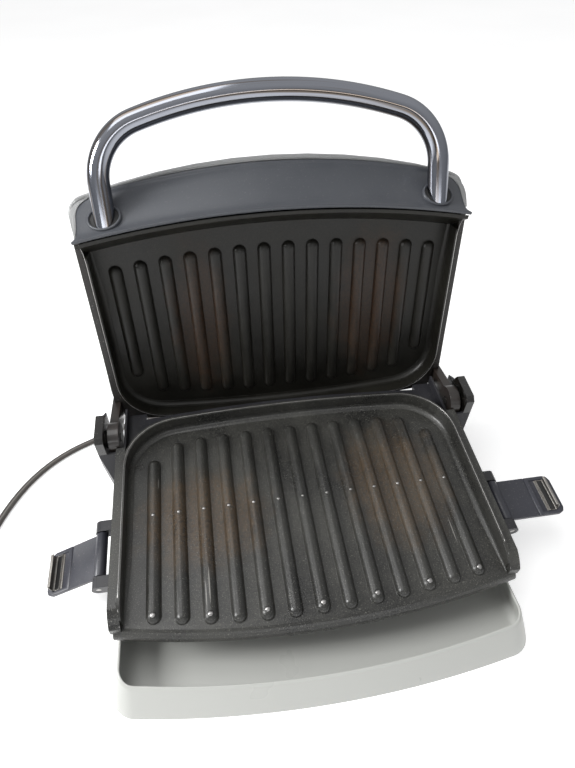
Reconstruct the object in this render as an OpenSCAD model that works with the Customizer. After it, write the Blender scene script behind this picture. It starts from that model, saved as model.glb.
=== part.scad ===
// Electric indoor grill with a floating, tilting lid, two ribbed plates and a drip tray.
// Millimetres. The origin is on the counter, under the middle of the open grill.
// X runs to the right, Y to the back, Z up. The grill is drawn with its lid open.

/* [Overall] */
// Slope of the lower plate towards the drip tray, in degrees
plate_tilt = 7; // [4:0.5:9]
// Height of the rib tops above the counter, at the middle of the lower plate
plate_height = 60; // [58:0.5:66]
// Half of the width over the walls of the lower plate
plate_half = 144; // [138:1:150]
// Distance from the middle of the lower plate to its back wall
plate_rear = 93; // [90:1:96]

/* [Grill plates] */
// Spacing of the cooking ribs
rib_pitch = 20; // [18:0.5:21]
// Radius of the rounded rib tops
rib_r = 5; // [4:0.25:6]
// Thickness of the plate castings
plate_wall = 3; // [2.5:0.25:4]
// Height of the plate walls above the rib tops
crest = 10; // [8:0.5:11]
// Distance between the two planes of rib tops when the lid is shut
closed_gap = 21; // [20.5:0.5:24]

/* [Lid and hinge] */
// Opening angle of the lid, in degrees
lid_open = 101.3; // [95:0.1:104]
// Rise of the hinge pins as the lid opens
float_travel = 27.6; // [24:0.2:30]
// Radius of the hinge pins
pin_r = 4; // [3:0.25:5]
// Running clearance of the pins in the lid arms
pin_clear = 0.06; // [0.02:0.01:0.1]
// Crown height of the lid cover over the rib tops
crown = 42; // [36:1:48]
// Thickness of the moulded shells
shell = 2.5; // [2:0.25:3]

/* [Handle] */
// Outer radius of the handle tube
handle_r = 8; // [7:0.25:9]
// Wall of the handle tube
handle_wall = 1.2; // [1:0.1:2]
// Half of the distance between the handle legs
handle_half = 127.5; // [124:0.5:130]

/* [Latches] */
// Length of a latch flap from its pin to its tip
latch_len = 50; // [44:1:52]
// Width of a latch flap
latch_w = 35; // [28:1:37]
// How far the left latch hangs below level, in degrees
left_droop = 28; // [0:1:45]

/* [Drip tray] */
// Height of the drip tray
tray_h = 24; // [20:0.5:25]
// Wall of the drip tray
tray_wall = 2.2; // [1.8:0.2:3]
// Half of the width of the drip tray at the counter
tray_half = 155; // [150:1:158]

/* [Lead] */
// Width of the flat twin lead
lead_w = 6.6; // [6:0.2:7.4]
// Thickness of the flat twin lead
lead_t = 3.6; // [3:0.2:3.8]
// Turns in the coil of spare lead
coil_turns = 2.5; // [2.5:1:3.5]

/* [Hidden] */
$fn = 48;

// Places on the lower plate, whose origin is midway along its middle rib, on the rib top
plate_y = -19;
floor_z = -rib_r;
back_z = floor_z - plate_wall;
plate_corner = 46;
upper_corner = 41;
rear_bow = 1300;
lip_bow = 711;
lip_roll = 8;
front_edge = -102;
bow_centre = front_edge + lip_bow;
flange_reach = 6;
flange_z = crest - 5;
flange_t = 3;
flange_end = 63.9;

// The lid's own frame: s runs from the hinge to the handle, n from the cover to the food
pin_y = 78;
pin_z = 4;
lid_shift = 73.2;
pin_s = lid_shift - pin_y;
pin_n = closed_gap - (pin_z - float_travel);
upper_half = plate_half + 5;
upper_rear = lid_shift + 20.5;
upper_bow = 811;
upper_lip_s = 175;
upper_lip_n = closed_gap - 2;
upper_centre = lid_shift - upper_lip_s + upper_bow;
wall_lean = 15;

// Parts under the plates
element_r = 3.25;
element_z = back_z - 0.3 - element_r;
reflector_z = element_z - element_r - 3;
reflector_t = 0.8;
deck_z = reflector_z - reflector_t - 0.2;
deck_t = 2.5;
screw_r = 1.5;
screw_head = 3;
plate_screw_x = 112;
plate_screw_y = 52;

// The base
base_half = plate_half + 6;
foot_h = 3;
base_bottom = foot_h;
cover_top = foot_h + 3;
base_rear = 89;
base_corner = 22;
base_wall = 4;
base_front_r = lip_bow - 15;
base_front_c = bow_centre + plate_y - 2;
side_rim = flange_z - 0.4;
rear_deck = -5;
web_end = -57;
apron_y = -57;
tray_room = 27.5;
tower_in = 127;
tower_front = 38;
ridge_in = 142.6;
pocket_in = 144.6;
pocket_out = 161.6;
pocket_front = pin_y - 15;
drum_r = 13.5;
pocket_floor = pin_z - float_travel - drum_r - 1;
arm_in = 147;
arm_out = 156;
leg_in = 148.5;
leg_half = 9;
bracket_in = 158;
block_out = 165;
block_front = 61;
block_rear = 93;
block_top = 23;
slot_clear = 0.1;
foot_x = 112;
foot_front = -41;
rear_foot_x = 140;
rear_foot_y = 77;

// The lid frame and cover
frame_half = upper_half + 5;
step_half = frame_half - 4.5;
frame_rear = lid_shift + 24;
step_rear = frame_rear - 6.5;
step_corner = 25;
frame_wall = 4;
frame_back = -22;
frame_edge = 6;
frame_front = 179;
shelf_n = back_z - 0.6;
flange_front = 158;
cover_half = frame_half + 3;
cover_edge = -4;
cover_mouth = -17;
cover_rear = lid_shift + 24;
cover_front = 205;
cover_bow = 513;
cover_insets = [0, 0.5, 2, 6, 14, 28, 50, 80, 108];
cover_depths = [0, 0.25, 0.45, 0.63, 0.76, 0.87, 0.94, 0.98, 1];
cover_screw_x = 130;
cover_screw_y = [-70, 58];
panel_t = 2.3;
panel_rows = [
    [20, 178.5, 14.3, 152.4], [16, 179.2, 14.6, 150.2], [12, 181, 15, 149.2], [5, 186, 16, 149.2],
    [-3, 192, 17.5, 149.6], [-7, 195.3, 18.5, 148.8], [-10, 197.7, 19.2, 147], [-12, 199.2, 19.4, 143.5],
    [-13, 200, 19, 139]
];

// Handle: its legs rise from the panel, leaning towards the cover
handle_s = 173.9;
handle_n = 5.3;
handle_tilt = 16;
handle_top = 79.5;
handle_bow = 320;
handle_corner = 44;
handle_end = -10.8;
handle_foot = 2.8;
handle_sides = 24;
ring_r = 12.5;
ring_hole = 9.75;
ring_neck = 10.9;
ring_turn = -11;
plate_slope = atan2(wall_lean, upper_lip_n - back_z);
plate_lip = upper_lip_s - pow(handle_half, 2) / (2 * upper_bow);
ring_room = (handle_s - plate_lip) * cos(plate_slope) + (upper_lip_n - handle_n) * sin(plate_slope) - 0.5;

// Latches, on the lower plate's frame
latch_x = plate_half + 16;
latch_z = -7;
latch_mid = -24.5;
latch_t = 3;
latch_pin_r = 2;
ear_t = 9;
ear_r = 5;
clip_u = 41;
clip_len = 28;
clip_h = 8;
clip_t = 1.2;

// Route of the lead, from the strain relief to the coil
relief_x = -118;
relief_z = 20;
relief_y = 114;
relief_seat = base_rear - pow(relief_x, 2) / (2 * rear_bow) - 0.6;
lead_z = lead_t / 2 + 0.1;
lead_route = [
    [relief_x, relief_y, relief_z], [relief_x, 121, relief_z], [-119.5, 127.5, 19.2], [-124, 135, 17],
    [-131.5, 141, 13.5], [-141, 144.5, 9.5], [-151.5, 145, 6], [-162, 143, 3.4], [-172.5, 139, 2.2],
    [-182.5, 134, lead_z], [-193, 128.5, lead_z], [-204, 123, lead_z], [-215, 116.5, lead_z],
    [-228, 106.5, lead_z], [-240, 94, lead_z], [-251, 78.5, lead_z], [-260, 61, lead_z],
    [-267, 42.5, lead_z], [-271.5, 27, lead_z], [-273, 17, lead_z], [-273, 10, lead_z]
];
coil_end = lead_route[len(lead_route) - 1];
coil_straight = 7;
coil_r = 42;
coil_pitch = lead_w + 0.8;
coil_rise = lead_t + 0.6;
coil_rings = 24;
coil_tail = 34;
plug_len = 34;
plug_w = 22;
plug_h = 12;
blade_gap = 12.7;

// Plain helpers
function arc(cx, cy, r, a0, a1, n) = [
    for (i = [0:n]) let (a = a0 + (a1 - a0) * i / n) [cx + r * cos(a), cy + r * sin(a)]
];

// Bowed end with two round corners, from the right side over the top to the left side
function end_arc(w, reach, corner, bow) =
    let (
        bc = reach - bow,
        cy = bc + sqrt(pow(bow - corner, 2) - pow(w - corner, 2)),
        turn = atan2(cy - bc, w - corner)
    )
    concat(
        arc(w - corner, cy, corner, 0, turn, 8),
        arc(0, bc, bow, turn + 0.4, 180 - turn - 0.4, 10),
        arc(corner - w, cy, corner, 180 - turn, 180, 8)
    );

// Outline with a bowed back, round back corners and a plain bowed front, counterclockwise
function pan_outline(w, rear, corner, front_c, front_r) =
    let (half = asin(w / front_r))
    concat(arc(0, front_c, front_r, 270 - half, 270 + half, 16), end_arc(w, rear, corner, rear_bow));

// Outline with round corners at both ends, counterclockwise
function tub_outline(w, rear, rear_corner, bow, front, corner, front_bow) =
    let (e = end_arc(w, front, corner, front_bow), n = len(e))
    concat([for (i = [n - 1:-1:0]) [e[i][0], -e[i][1]]], end_arc(w, rear, rear_corner, bow));

module on_plate() {
    translate([0, plate_y, plate_height]) rotate([plate_tilt, 0, 0]) children();
}

module in_lid() {
    on_plate() translate([0, pin_y, pin_z]) rotate([180 - lid_open, 0, 0])
        translate([0, -pin_s, -pin_n]) children();
}

// The lid's frame turned so that its y equals the lower plate's y when the lid is shut
module in_upper() {
    in_lid() mirror([0, 1, 0]) translate([0, -lid_shift, 0]) children();
}

module both_sides() {
    children();
    mirror([1, 0, 0]) children();
}

module plate_corners() {
    for (x = [-plate_screw_x, plate_screw_x], y = [-plate_screw_y, plate_screw_y])
        translate([x, y, 0]) children();
}

// Extrudes a drawing of the side view, y and z, across the width
module across(x0, x1) {
    translate([x0, 0, 0]) rotate([90, 0, 90]) linear_extrude(x1 - x0) children();
}

// Extrudes a drawing of the front view, x and z, along y
module along(y0, y1) {
    translate([0, y1, 0]) rotate([90, 0, 0]) linear_extrude(y1 - y0) children();
}

module box(low, high) {
    translate(low) cube(high - low);
}

module rod_x(x0, x1, r) {
    translate([x0, 0, 0]) rotate([0, 90, 0]) cylinder(r = r, h = x1 - x0);
}

module rod_z(z0, z1, r) {
    translate([0, 0, z0]) cylinder(r = r, h = z1 - z0);
}

module rod_y(y0, y1, r) {
    translate([0, y0, 0]) rotate([-90, 0, 0]) cylinder(r = r, h = y1 - y0);
}

// Straight length of wire between two points
module wire(a, b, r) {
    d = b - a;
    translate(a) rotate([0, acos(d[2] / norm(d)), atan2(d[1], d[0])]) cylinder(r = r, h = norm(d));
    translate(b) sphere(r = r * 1.25);
}

module wire_run(points, r) {
    for (i = [0:len(points) - 2]) wire(points[i], points[i + 1], r);
}

// Rounded ridge along y with ball ends, half of it, flat below
module ridge(y0, y1, r) {
    long = y1 - y0;
    translate([0, y0, 0]) rotate([-90, 0, 0]) rotate([0, 0, 180]) rotate_extrude(angle = 180)
        intersection() {
            union() {
                translate([0, r]) circle(r = r);
                translate([0, long - r]) circle(r = r);
                translate([-r, r]) square([2 * r, long - 2 * r]);
            }
            square([r + 1, long]);
        }
}

// Closed shell between two grids of points
module slab(a, b) {
    m = len(a);
    n = len(a[0]);
    o = m * n;
    top = [for (i = [0:m - 2], j = [0:n - 2]) each [
        [i * n + j, i * n + j + 1, (i + 1) * n + j + 1],
        [i * n + j, (i + 1) * n + j + 1, (i + 1) * n + j]
    ]];
    low = [for (f = top) [f[2] + o, f[1] + o, f[0] + o]];
    rim = concat(
        [for (j = [0:n - 1]) j],
        [for (i = [1:m - 1]) i * n + n - 1],
        [for (j = [n - 2:-1:0]) (m - 1) * n + j],
        [for (i = [m - 2:-1:1]) i * n]
    );
    k = len(rim);
    side = [for (i = [0:k - 1]) let (p = rim[i], q = rim[(i + 1) % k]) each [
        [p, p + o, q + o], [p, q + o, q]
    ]];
    polyhedron(concat([for (r = a) each r], [for (r = b) each r]), concat(top, low, side));
}

// Faces that join loops of n points, m loops in all, from point number at
function loop_faces(n, m, at) = [
    for (i = [0:m - 2], k = [0:n - 1]) let (a = at + i * n + k, b = at + i * n + (k + 1) % n)
        each [[a, b + n, b], [a, a + n, b + n]]
];

// Solid through loops of equal length, closed by flat ends
module loft(loops) {
    n = len(loops[0]);
    m = len(loops);
    polyhedron([for (l = loops) each l], concat(
        [[for (k = [0:n - 1]) k]],
        [[for (k = [n - 1:-1:0]) k + (m - 1) * n]],
        loop_faces(n, m, 0)
    ));
}

// Shell between two sets of loops that share their rim and go down to a closed last loop
module bowl(outer, inner) {
    n = len(outer[0]);
    m = len(outer);
    o = n * m;
    polyhedron(concat([for (l = outer) each l], [for (l = inner) each l]), concat(
        [for (f = loop_faces(n, m, 0)) [f[2], f[1], f[0]]],
        loop_faces(n, m, o),
        [[for (k = [0:n - 1]) k + (m - 1) * n]],
        [[for (k = [n - 1:-1:0]) k + (m - 1) * n + o]],
        [for (k = [0:n - 1]) let (j = (k + 1) % n) each [[k, j + o, j], [k, k + o, j + o]]]
    ));
}

function unit(v) = v / norm(v);

// Rings of an elliptical section along a list of points
function tube_ring(path, i, rw, rt, sides) =
    let (
        t = unit(path[min(i + 1, len(path) - 1)] - path[max(i - 1, 0)]),
        s = unit(cross(t, [0, 0, 1])),
        u = cross(s, t)
    )
    [for (k = [0:sides - 1]) path[i] + s * rw * cos(360 * k / sides) - u * rt * sin(360 * k / sides)];

module tube(path, rw, rt, sides) {
    loft([for (i = [0:len(path) - 1]) tube_ring(path, i, rw, rt, sides)]);
}

// Casting of a grill plate: floor and walls, trimmed above by a side view drawing
module pan(w, rear, corner, front_c, front_r, top) {
    difference() {
        translate([0, 0, back_z]) linear_extrude(top - back_z)
            polygon(pan_outline(w, rear, corner, front_c, front_r));
        translate([0, 0, floor_z]) linear_extrude(top * 2)
            polygon(pan_outline(w - plate_wall, rear - plate_wall, corner - plate_wall, front_c + 80,
                front_r + 120));
        across(-w * 2, w * 2) children();
    }
}

module plate_bosses() {
    plate_corners() translate([0, 0, deck_z + 5]) cylinder(r = 5, h = back_z - deck_z - 4);
}

module plate_pilots() {
    plate_corners() translate([0, 0, deck_z]) cylinder(r = screw_r, h = 9);
}

module ribs(xs, fronts, rears) {
    for (i = [0:len(xs) - 1]) translate([xs[i], 0, floor_z - 0.5])
        ridge(fronts[i], rears[i], rib_r + 0.5);
}

lower_setback = [17.5, 17, 17.5, 18, 19, 22, 38];
lower_xs = [for (i = [-6:6]) i * rib_pitch];
lower_fronts = [for (x = lower_xs) bow_centre - sqrt(pow(lip_bow - lip_roll - 1, 2) - x * x)];
lower_rears = [for (i = [-6:6]) plate_rear - lower_setback[abs(i)]];
upper_setback = [17.3, 17.5, 18.5, 19.9, 22.1, 25.5, 43.7];
upper_xs = [for (i = [-6.5:6.5]) i * rib_pitch];
upper_fronts = [for (i = [-6.5:6.5]) lid_shift - 142 + 10 * pow(i / 6.5, 2)];
upper_rears = [for (i = [-6.5:6.5]) upper_rear - upper_setback[floor(abs(i))]];
fall = 27.6;

module lower_plate() {
    color("dimgray") on_plate() difference() {
        union() {
            pan(plate_half, plate_rear, plate_corner, bow_centre, lip_bow - lip_roll, crest) lower_trim();
            difference() {
                both_sides() {
                    box([plate_half - 2, -84, flange_z], [base_half, flange_end, flange_z + flange_t]);
                    box([plate_half - 2, -84, back_z], [base_half, web_end - 1, flange_z + flange_t]);
                }
                across(-300, 300) lower_trim();
            }
            ribs(lower_xs, lower_fronts, lower_rears);
            pour_lip();
            for (i = [-3:3]) translate([2 * i * rib_pitch, -86.4 + 0.96 * i * i, -2])
                cylinder(r = 2, h = 2.6);
            plate_bosses();
        }
        plate_pilots();
    }
}

module lower_trim() {
    polygon(concat(
        [[-62, crest + 9], [-62, crest]],
        [for (a = [5:5:60]) [-62 - fall * sin(a), crest - fall * (1 - cos(a))]],
        [[-130, crest - fall / 2], [-130, crest + 9]]
    ));
}

// Front edge of the lower plate, which rolls down over the drip tray
module pour_lip() {
    half = asin((base_half - 1) / lip_bow);
    inner = lip_bow - lip_roll;
    drop = floor_z - lip_roll;
    translate([0, bow_centre, 0]) rotate([0, 0, 270 - half])
        rotate_extrude(angle = 2 * half, $fn = 720)
        polygon(concat(
            [[inner - 1, back_z], [inner - 1, floor_z]],
            arc(inner, drop, lip_roll, 90, 0, 6),
            arc(inner, drop, lip_roll - plate_wall, 0, 90, 6)
        ));
}

module upper_trim() {
    rise = upper_lip_n - crest;
    polygon(concat(
        [[120, upper_lip_n + 9], [120, crest]],
        [for (a = [0:8:48]) [-67.8 - 26.7 * sin(a), crest + 26.7 * (1 - cos(a)) * rise / 9]],
        [[-88, upper_lip_n + 9]]
    ));
}

module upper_plate() {
    half = asin((upper_half + 1.5) / upper_bow);
    foot = upper_bow - wall_lean;
    color("dimgray") in_upper() difference() {
        union() {
            pan(upper_half, upper_rear, upper_corner, upper_centre, foot, upper_lip_n) upper_trim();
            ribs(upper_xs, upper_fronts, upper_rears);
            translate([0, upper_centre, 0]) rotate([0, 0, 270 - half])
                rotate_extrude(angle = 2 * half, $fn = 720)
                polygon([
                    [foot - plate_wall, back_z], [foot + 1, back_z], [upper_bow, upper_lip_n],
                    [upper_bow - plate_wall, upper_lip_n]
                ]);
            plate_bosses();
        }
        plate_pilots();
    }
}

// Screws that hold a plate from behind
module plate_screws(under) {
    plate_corners() translate([0, 0, under]) {
        translate([0, 0, -2]) cylinder(r = screw_head, h = 2);
        cylinder(r = screw_r, h = deck_z + 8 - under);
    }
}

module lower_plate_screws() {
    color("silver") on_plate() plate_screws(deck_z - deck_t);
}

module upper_plate_screws() {
    color("silver") in_upper() plate_screws(frame_back);
}

// Sheathed heating rod: a rounded loop with its two ends at the back
module heating_rod() {
    wide = 92;
    near = -64;
    far = 44;
    turn = 28;
    end_x = 14;
    translate([0, 0, element_z]) both_sides() {
        translate([0, near, 0]) rod_x(0, wide - turn, element_r);
        translate([wide - turn, near + turn, 0]) rotate([0, 0, -90])
            rotate_extrude(angle = 90) translate([turn, 0]) circle(r = element_r);
        translate([wide, 0, 0]) rod_y(near + turn, far - turn, element_r);
        translate([wide - turn, far - turn, 0])
            rotate_extrude(angle = 90) translate([turn, 0]) circle(r = element_r);
        translate([0, far, 0]) rod_x(end_x + 10, wide - turn, element_r);
        translate([end_x + 10, far + 10, 0]) rotate([0, 0, 180])
            rotate_extrude(angle = 90) translate([10, 0]) circle(r = element_r);
        translate([end_x, 0, 0]) rod_y(far + 10, far + 24, element_r);
        translate([end_x, 0, 0]) rod_y(far + 24, far + 32, 1.5);
    }
}

module lower_element() {
    color("gray") on_plate() heating_rod();
}

module upper_element() {
    color("gray") in_upper() heating_rod();
}

// Bright tray of thin sheet that throws the heat back at the plate
module heat_shield() {
    difference() {
        box([-102, -76, reflector_z - reflector_t], [102, 74, reflector_z + 5]);
        box([-102 + reflector_t, -76 + reflector_t, reflector_z], [102 - reflector_t, 74 - reflector_t, 0]);
        box([-22, 70, reflector_z + 0.2], [22, 80, 0]);
    }
}

module lower_reflector() {
    color("lightgray") on_plate() heat_shield();
}

module upper_reflector() {
    color("lightgray") in_upper() heat_shield();
}

// Round snap thermostat with two tabs, held against the back of a plate
module snap_disc() {
    translate([38, 6, reflector_z]) {
        cylinder(r = 8, h = back_z - reflector_z);
        for (sx = [-1, 1]) translate([sx * 9.5 - 2.5, -1.5, 2]) cube([5, 3, 0.8]);
    }
}

module thermostat() {
    color("ivory") on_plate() snap_disc();
}

module lid_thermostat() {
    color("ivory") in_upper() snap_disc();
}

wire_r = 0.9;
wire_z = reflector_z + 2.4;

// Thermal cut-out in its sleeve, lying on the lower shield
module thermal_fuse() {
    color("white") on_plate() translate([-46, 6, reflector_z + 2.4]) {
        rod_x(-13, 13, 2.4);
        rod_x(-18, -13, 0.7);
        rod_x(13, 18, 0.7);
    }
}

module terminal_block() {
    color("beige") on_plate() box([-30, 60, deck_z - deck_t - 11], [-6, 78, deck_z - deck_t]);
}

// Sleeve that joins a wire to an end of the heating rod
module rod_sleeve(sx) {
    translate([sx * 14, 0, element_z]) rod_y(76, 82, 2.2);
}

module base_wiring() {
    low = deck_z - deck_t - 5;
    color("firebrick") on_plate() {
        rod_sleeve(-1);
        wire([-14, 81, element_z], [-14, 81, low], wire_r);
        wire([-14, 81, low], [-14, 78, low], wire_r);
        rod_sleeve(1);
        wire_run([[14, 81, element_z], [8, 78, wire_z], [8, 20, wire_z], [56, 20, wire_z], [56, 6, wire_z],
            [50.2, 6, wire_z]], wire_r);
        wire_run([[25.8, 6, wire_z], [-27, 6, wire_z]], wire_r);
        wire_run([[-65, 6, wire_z], [-65, 20, wire_z], [-8, 20, wire_z], [-8, 84, wire_z], [-8, 84, low],
            [-8, 79, low]], wire_r);
        for (dx = [0, 4]) tube([[relief_x - 1.5 + dx, 96, -52], [relief_x + 1.5 + dx, 86, -51.2],
            [relief_x + 5.5 + dx, 80 + dx, -50.4], [relief_x + 13 + dx, 77.4 + dx, -49.6],
            [-60, 76 + dx, low - 1], [-31, 68 + dx, low]], wire_r, wire_r, 12);
    }
}

module lid_wiring() {
    color("firebrick") in_upper() {
        rod_sleeve(-1);
        wire_run([[-14, 80, element_z], [-20, 79, wire_z], [-116, 79, wire_z]], wire_r);
        rod_sleeve(1);
        wire_run([[14, 81, element_z], [8, 78, wire_z], [8, 20, wire_z], [56, 20, wire_z], [56, 6, wire_z],
            [50.2, 6, wire_z]], wire_r);
        wire_run([[25.8, 6, wire_z], [-8, 6, wire_z], [-8, 76.3, wire_z], [-116, 76.3, wire_z]], wire_r);
    }
}

// Base housing, drawn level apart from what follows the slope of the plate
module base_plan(inset) {
    polygon(pan_outline(base_half - inset, base_rear - inset, base_corner - inset, base_front_c,
        base_front_r - inset));
}

module above_plate(z) {
    on_plate() box([-300, -300, z], [300, 300, 300]);
}

module base_housing() {
    color("slategray") union() {
        difference() {
            union() {
                difference() {
                    translate([0, 0, base_bottom]) linear_extrude(100) base_plan(0);
                    above_plate(side_rim);
                    on_plate() box([-300, flange_end + 1, rear_deck], [300, 300, 300]);
                    on_plate() box([-300, -300, back_z - 0.4], [300, web_end, 300]);
                    box([-300, -300, -1], [300, apron_y, tray_room]);
                }
                both_sides() hinge_tower();
                both_sides() on_plate() latch_ears();
            }
            on_plate() translate([0, 0, deck_z]) linear_extrude(60)
                polygon(pan_outline(plate_half + 1, plate_rear + 1, plate_corner + 1, bow_centre,
                    lip_bow - lip_roll - 10));
            lower_room();
            both_sides() on_plate() {
                box([pocket_in, pocket_front, pocket_floor], [pocket_out, 300, 300]);
                bracket_screw_places() rod_x(pocket_out - 1, pocket_out + 2.6, screw_r);
            }
            on_plate() plate_corners() {
                translate([0, 0, deck_z - 6]) cylinder(r = screw_r + 0.3, h = 20);
                translate([0, 0, deck_z - deck_t - 30]) cylinder(r = screw_head + 0.3, h = 30);
            }
            on_plate() box([-18, 77, deck_z - 6], [18, 88, deck_z + 6]);
            translate([relief_x, 0, relief_z]) {
                rod_y(base_rear - 14, base_rear + 6, 6);
                rod_y(relief_seat, base_rear + 6, 8.3);
            }
            base_screw_places() translate([0, 0, -1]) cylinder(r = screw_r, h = 14.5);
            foot_places(1) translate([0, 0, -1]) cylinder(r = 3, h = foot_h + 6);
        }
        on_plate() deck_bosses();
    }
}

module deck_bosses() {
    plate_corners() difference() {
        translate([0, 0, deck_z - 0.2]) cylinder(r = 6, h = 5.2);
        translate([0, 0, deck_z - 1]) cylinder(r = screw_r + 0.3, h = 8);
    }
}

// The space under the deck, open below, with the pillars for the bottom cover left standing
module lower_room() {
    difference() {
        translate([0, 0, -1]) linear_extrude(120) difference() {
            base_plan(base_wall);
            translate([-300, apron_y - 297]) square([600, 300]);
        }
        above_plate(deck_z - deck_t);
        base_screw_places() translate([0, 0, cover_top]) cylinder(r = 5, h = 60);
        both_sides() box([tower_in - 1, tower_front - 3, -2], [200, 200, 100]);
    }
}

module hinge_tower() {
    intersection() {
        on_plate() difference() {
            translate([0, 0, -75]) linear_extrude(75 + pin_z) polygon([
                [tower_in, 36], [base_half - 1, 36], [block_out - 8, 50], [block_out, block_front],
                [block_out, 104], [block_out - 6, 112], [tower_in, 112]
            ]);
            box([tower_in - 1, 0, rear_deck], [ridge_in, 200, 100]);
            across(tower_in - 1, 200) polygon([
                [block_front, pin_z], [block_front, 60], [-50, 60], [-50, -100], [9, -100]
            ]);
        }
        box([0, -200, base_bottom], [300, base_rear, 200]);
        on_plate() along(-100, 200) polygon([
            [120, 10], [170, 10], [block_out + 1, -8], [base_half, -62], [base_half, -90], [120, -90]
        ]);
    }
}

module latch_ears() {
    for (y0 = [latch_mid - latch_w / 2 - 0.5 - ear_t, latch_mid + latch_w / 2 + 0.5])
        difference() {
            translate([0, y0, latch_z]) {
                translate([latch_x, 0, 0]) rod_y(0, ear_t, ear_r);
                box([base_half - 2, 0, -ear_r], [latch_x, ear_t, ear_r]);
            }
            translate([latch_x, y0 - 1, latch_z]) rod_y(0, ear_t + 2, latch_pin_r + 0.02);
        }
}

module base_screw_places() {
    for (x = [-118, 0, 118], y = [-43, 29]) translate([x, y, 0]) children();
}

// Places of the feet, the front pair and the rear pair under the hinge towers
module foot_places(rear) {
    for (sx = [-1, 1]) translate([sx * (rear ? rear_foot_x : foot_x), rear ? rear_foot_y : foot_front, 0])
        children();
}

module base_cover() {
    color("darkslategray") difference() {
        translate([0, 0, foot_h]) linear_extrude(cover_top - foot_h) difference() {
            base_plan(base_wall + 0.3);
            translate([-300, apron_y - 296.7]) square([600, 300]);
            for (sx = [-1, 1]) translate([sx * (tower_in + 48.7) - 50, tower_front - 3.3]) square([100, 100]);
        }
        base_screw_places() {
            translate([0, 0, -1]) cylinder(r = screw_r + 0.3, h = 20);
            translate([0, 0, -1]) cylinder(r = screw_head + 0.3, h = foot_h + 2.6);
        }
        foot_places(0) translate([0, 0, -1]) cylinder(r = 3, h = 20);
    }
}

module rubber_feet() {
    color("black") for (rear = [0, 1]) foot_places(rear) {
        cylinder(r1 = 8, r2 = 9, h = foot_h);
        translate([0, 0, foot_h]) cylinder(r = 3, h = 4);
    }
}

module base_screws() {
    color("silver") base_screw_places() {
        translate([0, 0, foot_h + 0.2]) cylinder(r = screw_head, h = 1.4);
        translate([0, 0, foot_h + 1.6]) cylinder(r = screw_r, h = 8);
    }
}

module bracket_screw_places() {
    for (y = [pin_y - 9, pin_y + 9]) translate([0, y, pin_z - float_travel - 10]) children();
}

// Side plate with a capped top that guides the outer end of a hinge pin
module hinge_bracket() {
    r = pin_r + slot_clear;
    low = pin_z - float_travel;
    difference() {
        union() {
            box([bracket_in, pocket_front + 0.3, pocket_floor + 0.3],
                [pocket_out - 0.1, block_rear - 0.3, pin_z + 1]);
            across(bracket_in, block_out) polygon([
                [block_front, pin_z], [block_rear, pin_z], [block_rear + 2, pin_z + 7],
                [block_rear - 4, block_top], [block_front + 4, block_top], [block_front, block_top - 4]
            ]);
        }
        translate([0, pin_y, low]) rod_x(bracket_in - 1, block_out - 2, r);
        translate([0, pin_y, pin_z]) rod_x(bracket_in - 1, block_out - 2, r);
        box([bracket_in - 1, pin_y - r, low], [block_out - 2, pin_y + r, pin_z]);
        bracket_screw_places() {
            rod_x(bracket_in - 1, bracket_in + 1.5, screw_head + 0.1);
            rod_x(bracket_in, block_out, screw_r + 0.1);
        }
    }
}

module right_hinge_bracket() {
    color("#2a2522") on_plate() hinge_bracket();
}

module left_hinge_bracket() {
    color("#2a2522") mirror([1, 0, 0]) on_plate() hinge_bracket();
}

module bracket_screws() {
    color("silver") both_sides() on_plate() bracket_screw_places() {
        rod_x(bracket_in + 0.1, bracket_in + 1.5, screw_head);
        rod_x(bracket_in + 1.5, pocket_out + 2.4, screw_r);
    }
}

// Stepped pin that rises in its slot and carries one lid arm
module hinge_pin() {
    translate([0, pin_y, pin_z]) {
        rod_x(arm_in - 0.6, pocket_out - 0.3, pin_r);
        rod_x(arm_out + 0.3, bracket_in - 0.3, pin_r + 4);
    }
}

module right_hinge_pin() {
    color("#55504a") on_plate() hinge_pin();
}

module left_hinge_pin() {
    color("#55504a") mirror([1, 0, 0]) on_plate() hinge_pin();
}

// Lid arm: a drum on the pin and a leg that carries the hinge corner of the lid
module lid_arm() {
    difference() {
        union() {
            translate([0, pin_s, pin_n]) rod_x(arm_in, arm_out, drum_r);
            box([leg_in, pin_s - leg_half, cover_edge + 0.4], [arm_out, pin_s + leg_half, pin_n]);
        }
        translate([0, pin_s, pin_n]) rod_x(arm_in - 1, arm_out + 1, pin_r + pin_clear);
        arm_screw_places() {
            rod_x(leg_in - 1, arm_out + 1, screw_r + 0.1);
            rod_x(arm_out - 1.4, arm_out + 1, screw_head + 0.1);
        }
    }
}

module arm_screw_places() {
    for (s = [pin_s - 4.5, pin_s + 4.5]) translate([0, s, 1]) children();
}

module right_lid_arm() {
    color("#3a322c") in_lid() lid_arm();
}

module left_lid_arm() {
    color("#3a322c") mirror([1, 0, 0]) in_lid() lid_arm();
}

module arm_screws() {
    color("silver") both_sides() in_lid() arm_screw_places() {
        rod_x(leg_in - 4.3, arm_out - 1.4, screw_r);
        rod_x(arm_out - 1.4, arm_out - 0.2, screw_head);
    }
}

// Shallow tub behind the upper plate
module frame_plan(w, rear, corner, front) {
    polygon(pan_outline(w, rear, corner, lid_shift - front + upper_bow, upper_bow));
}

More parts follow.
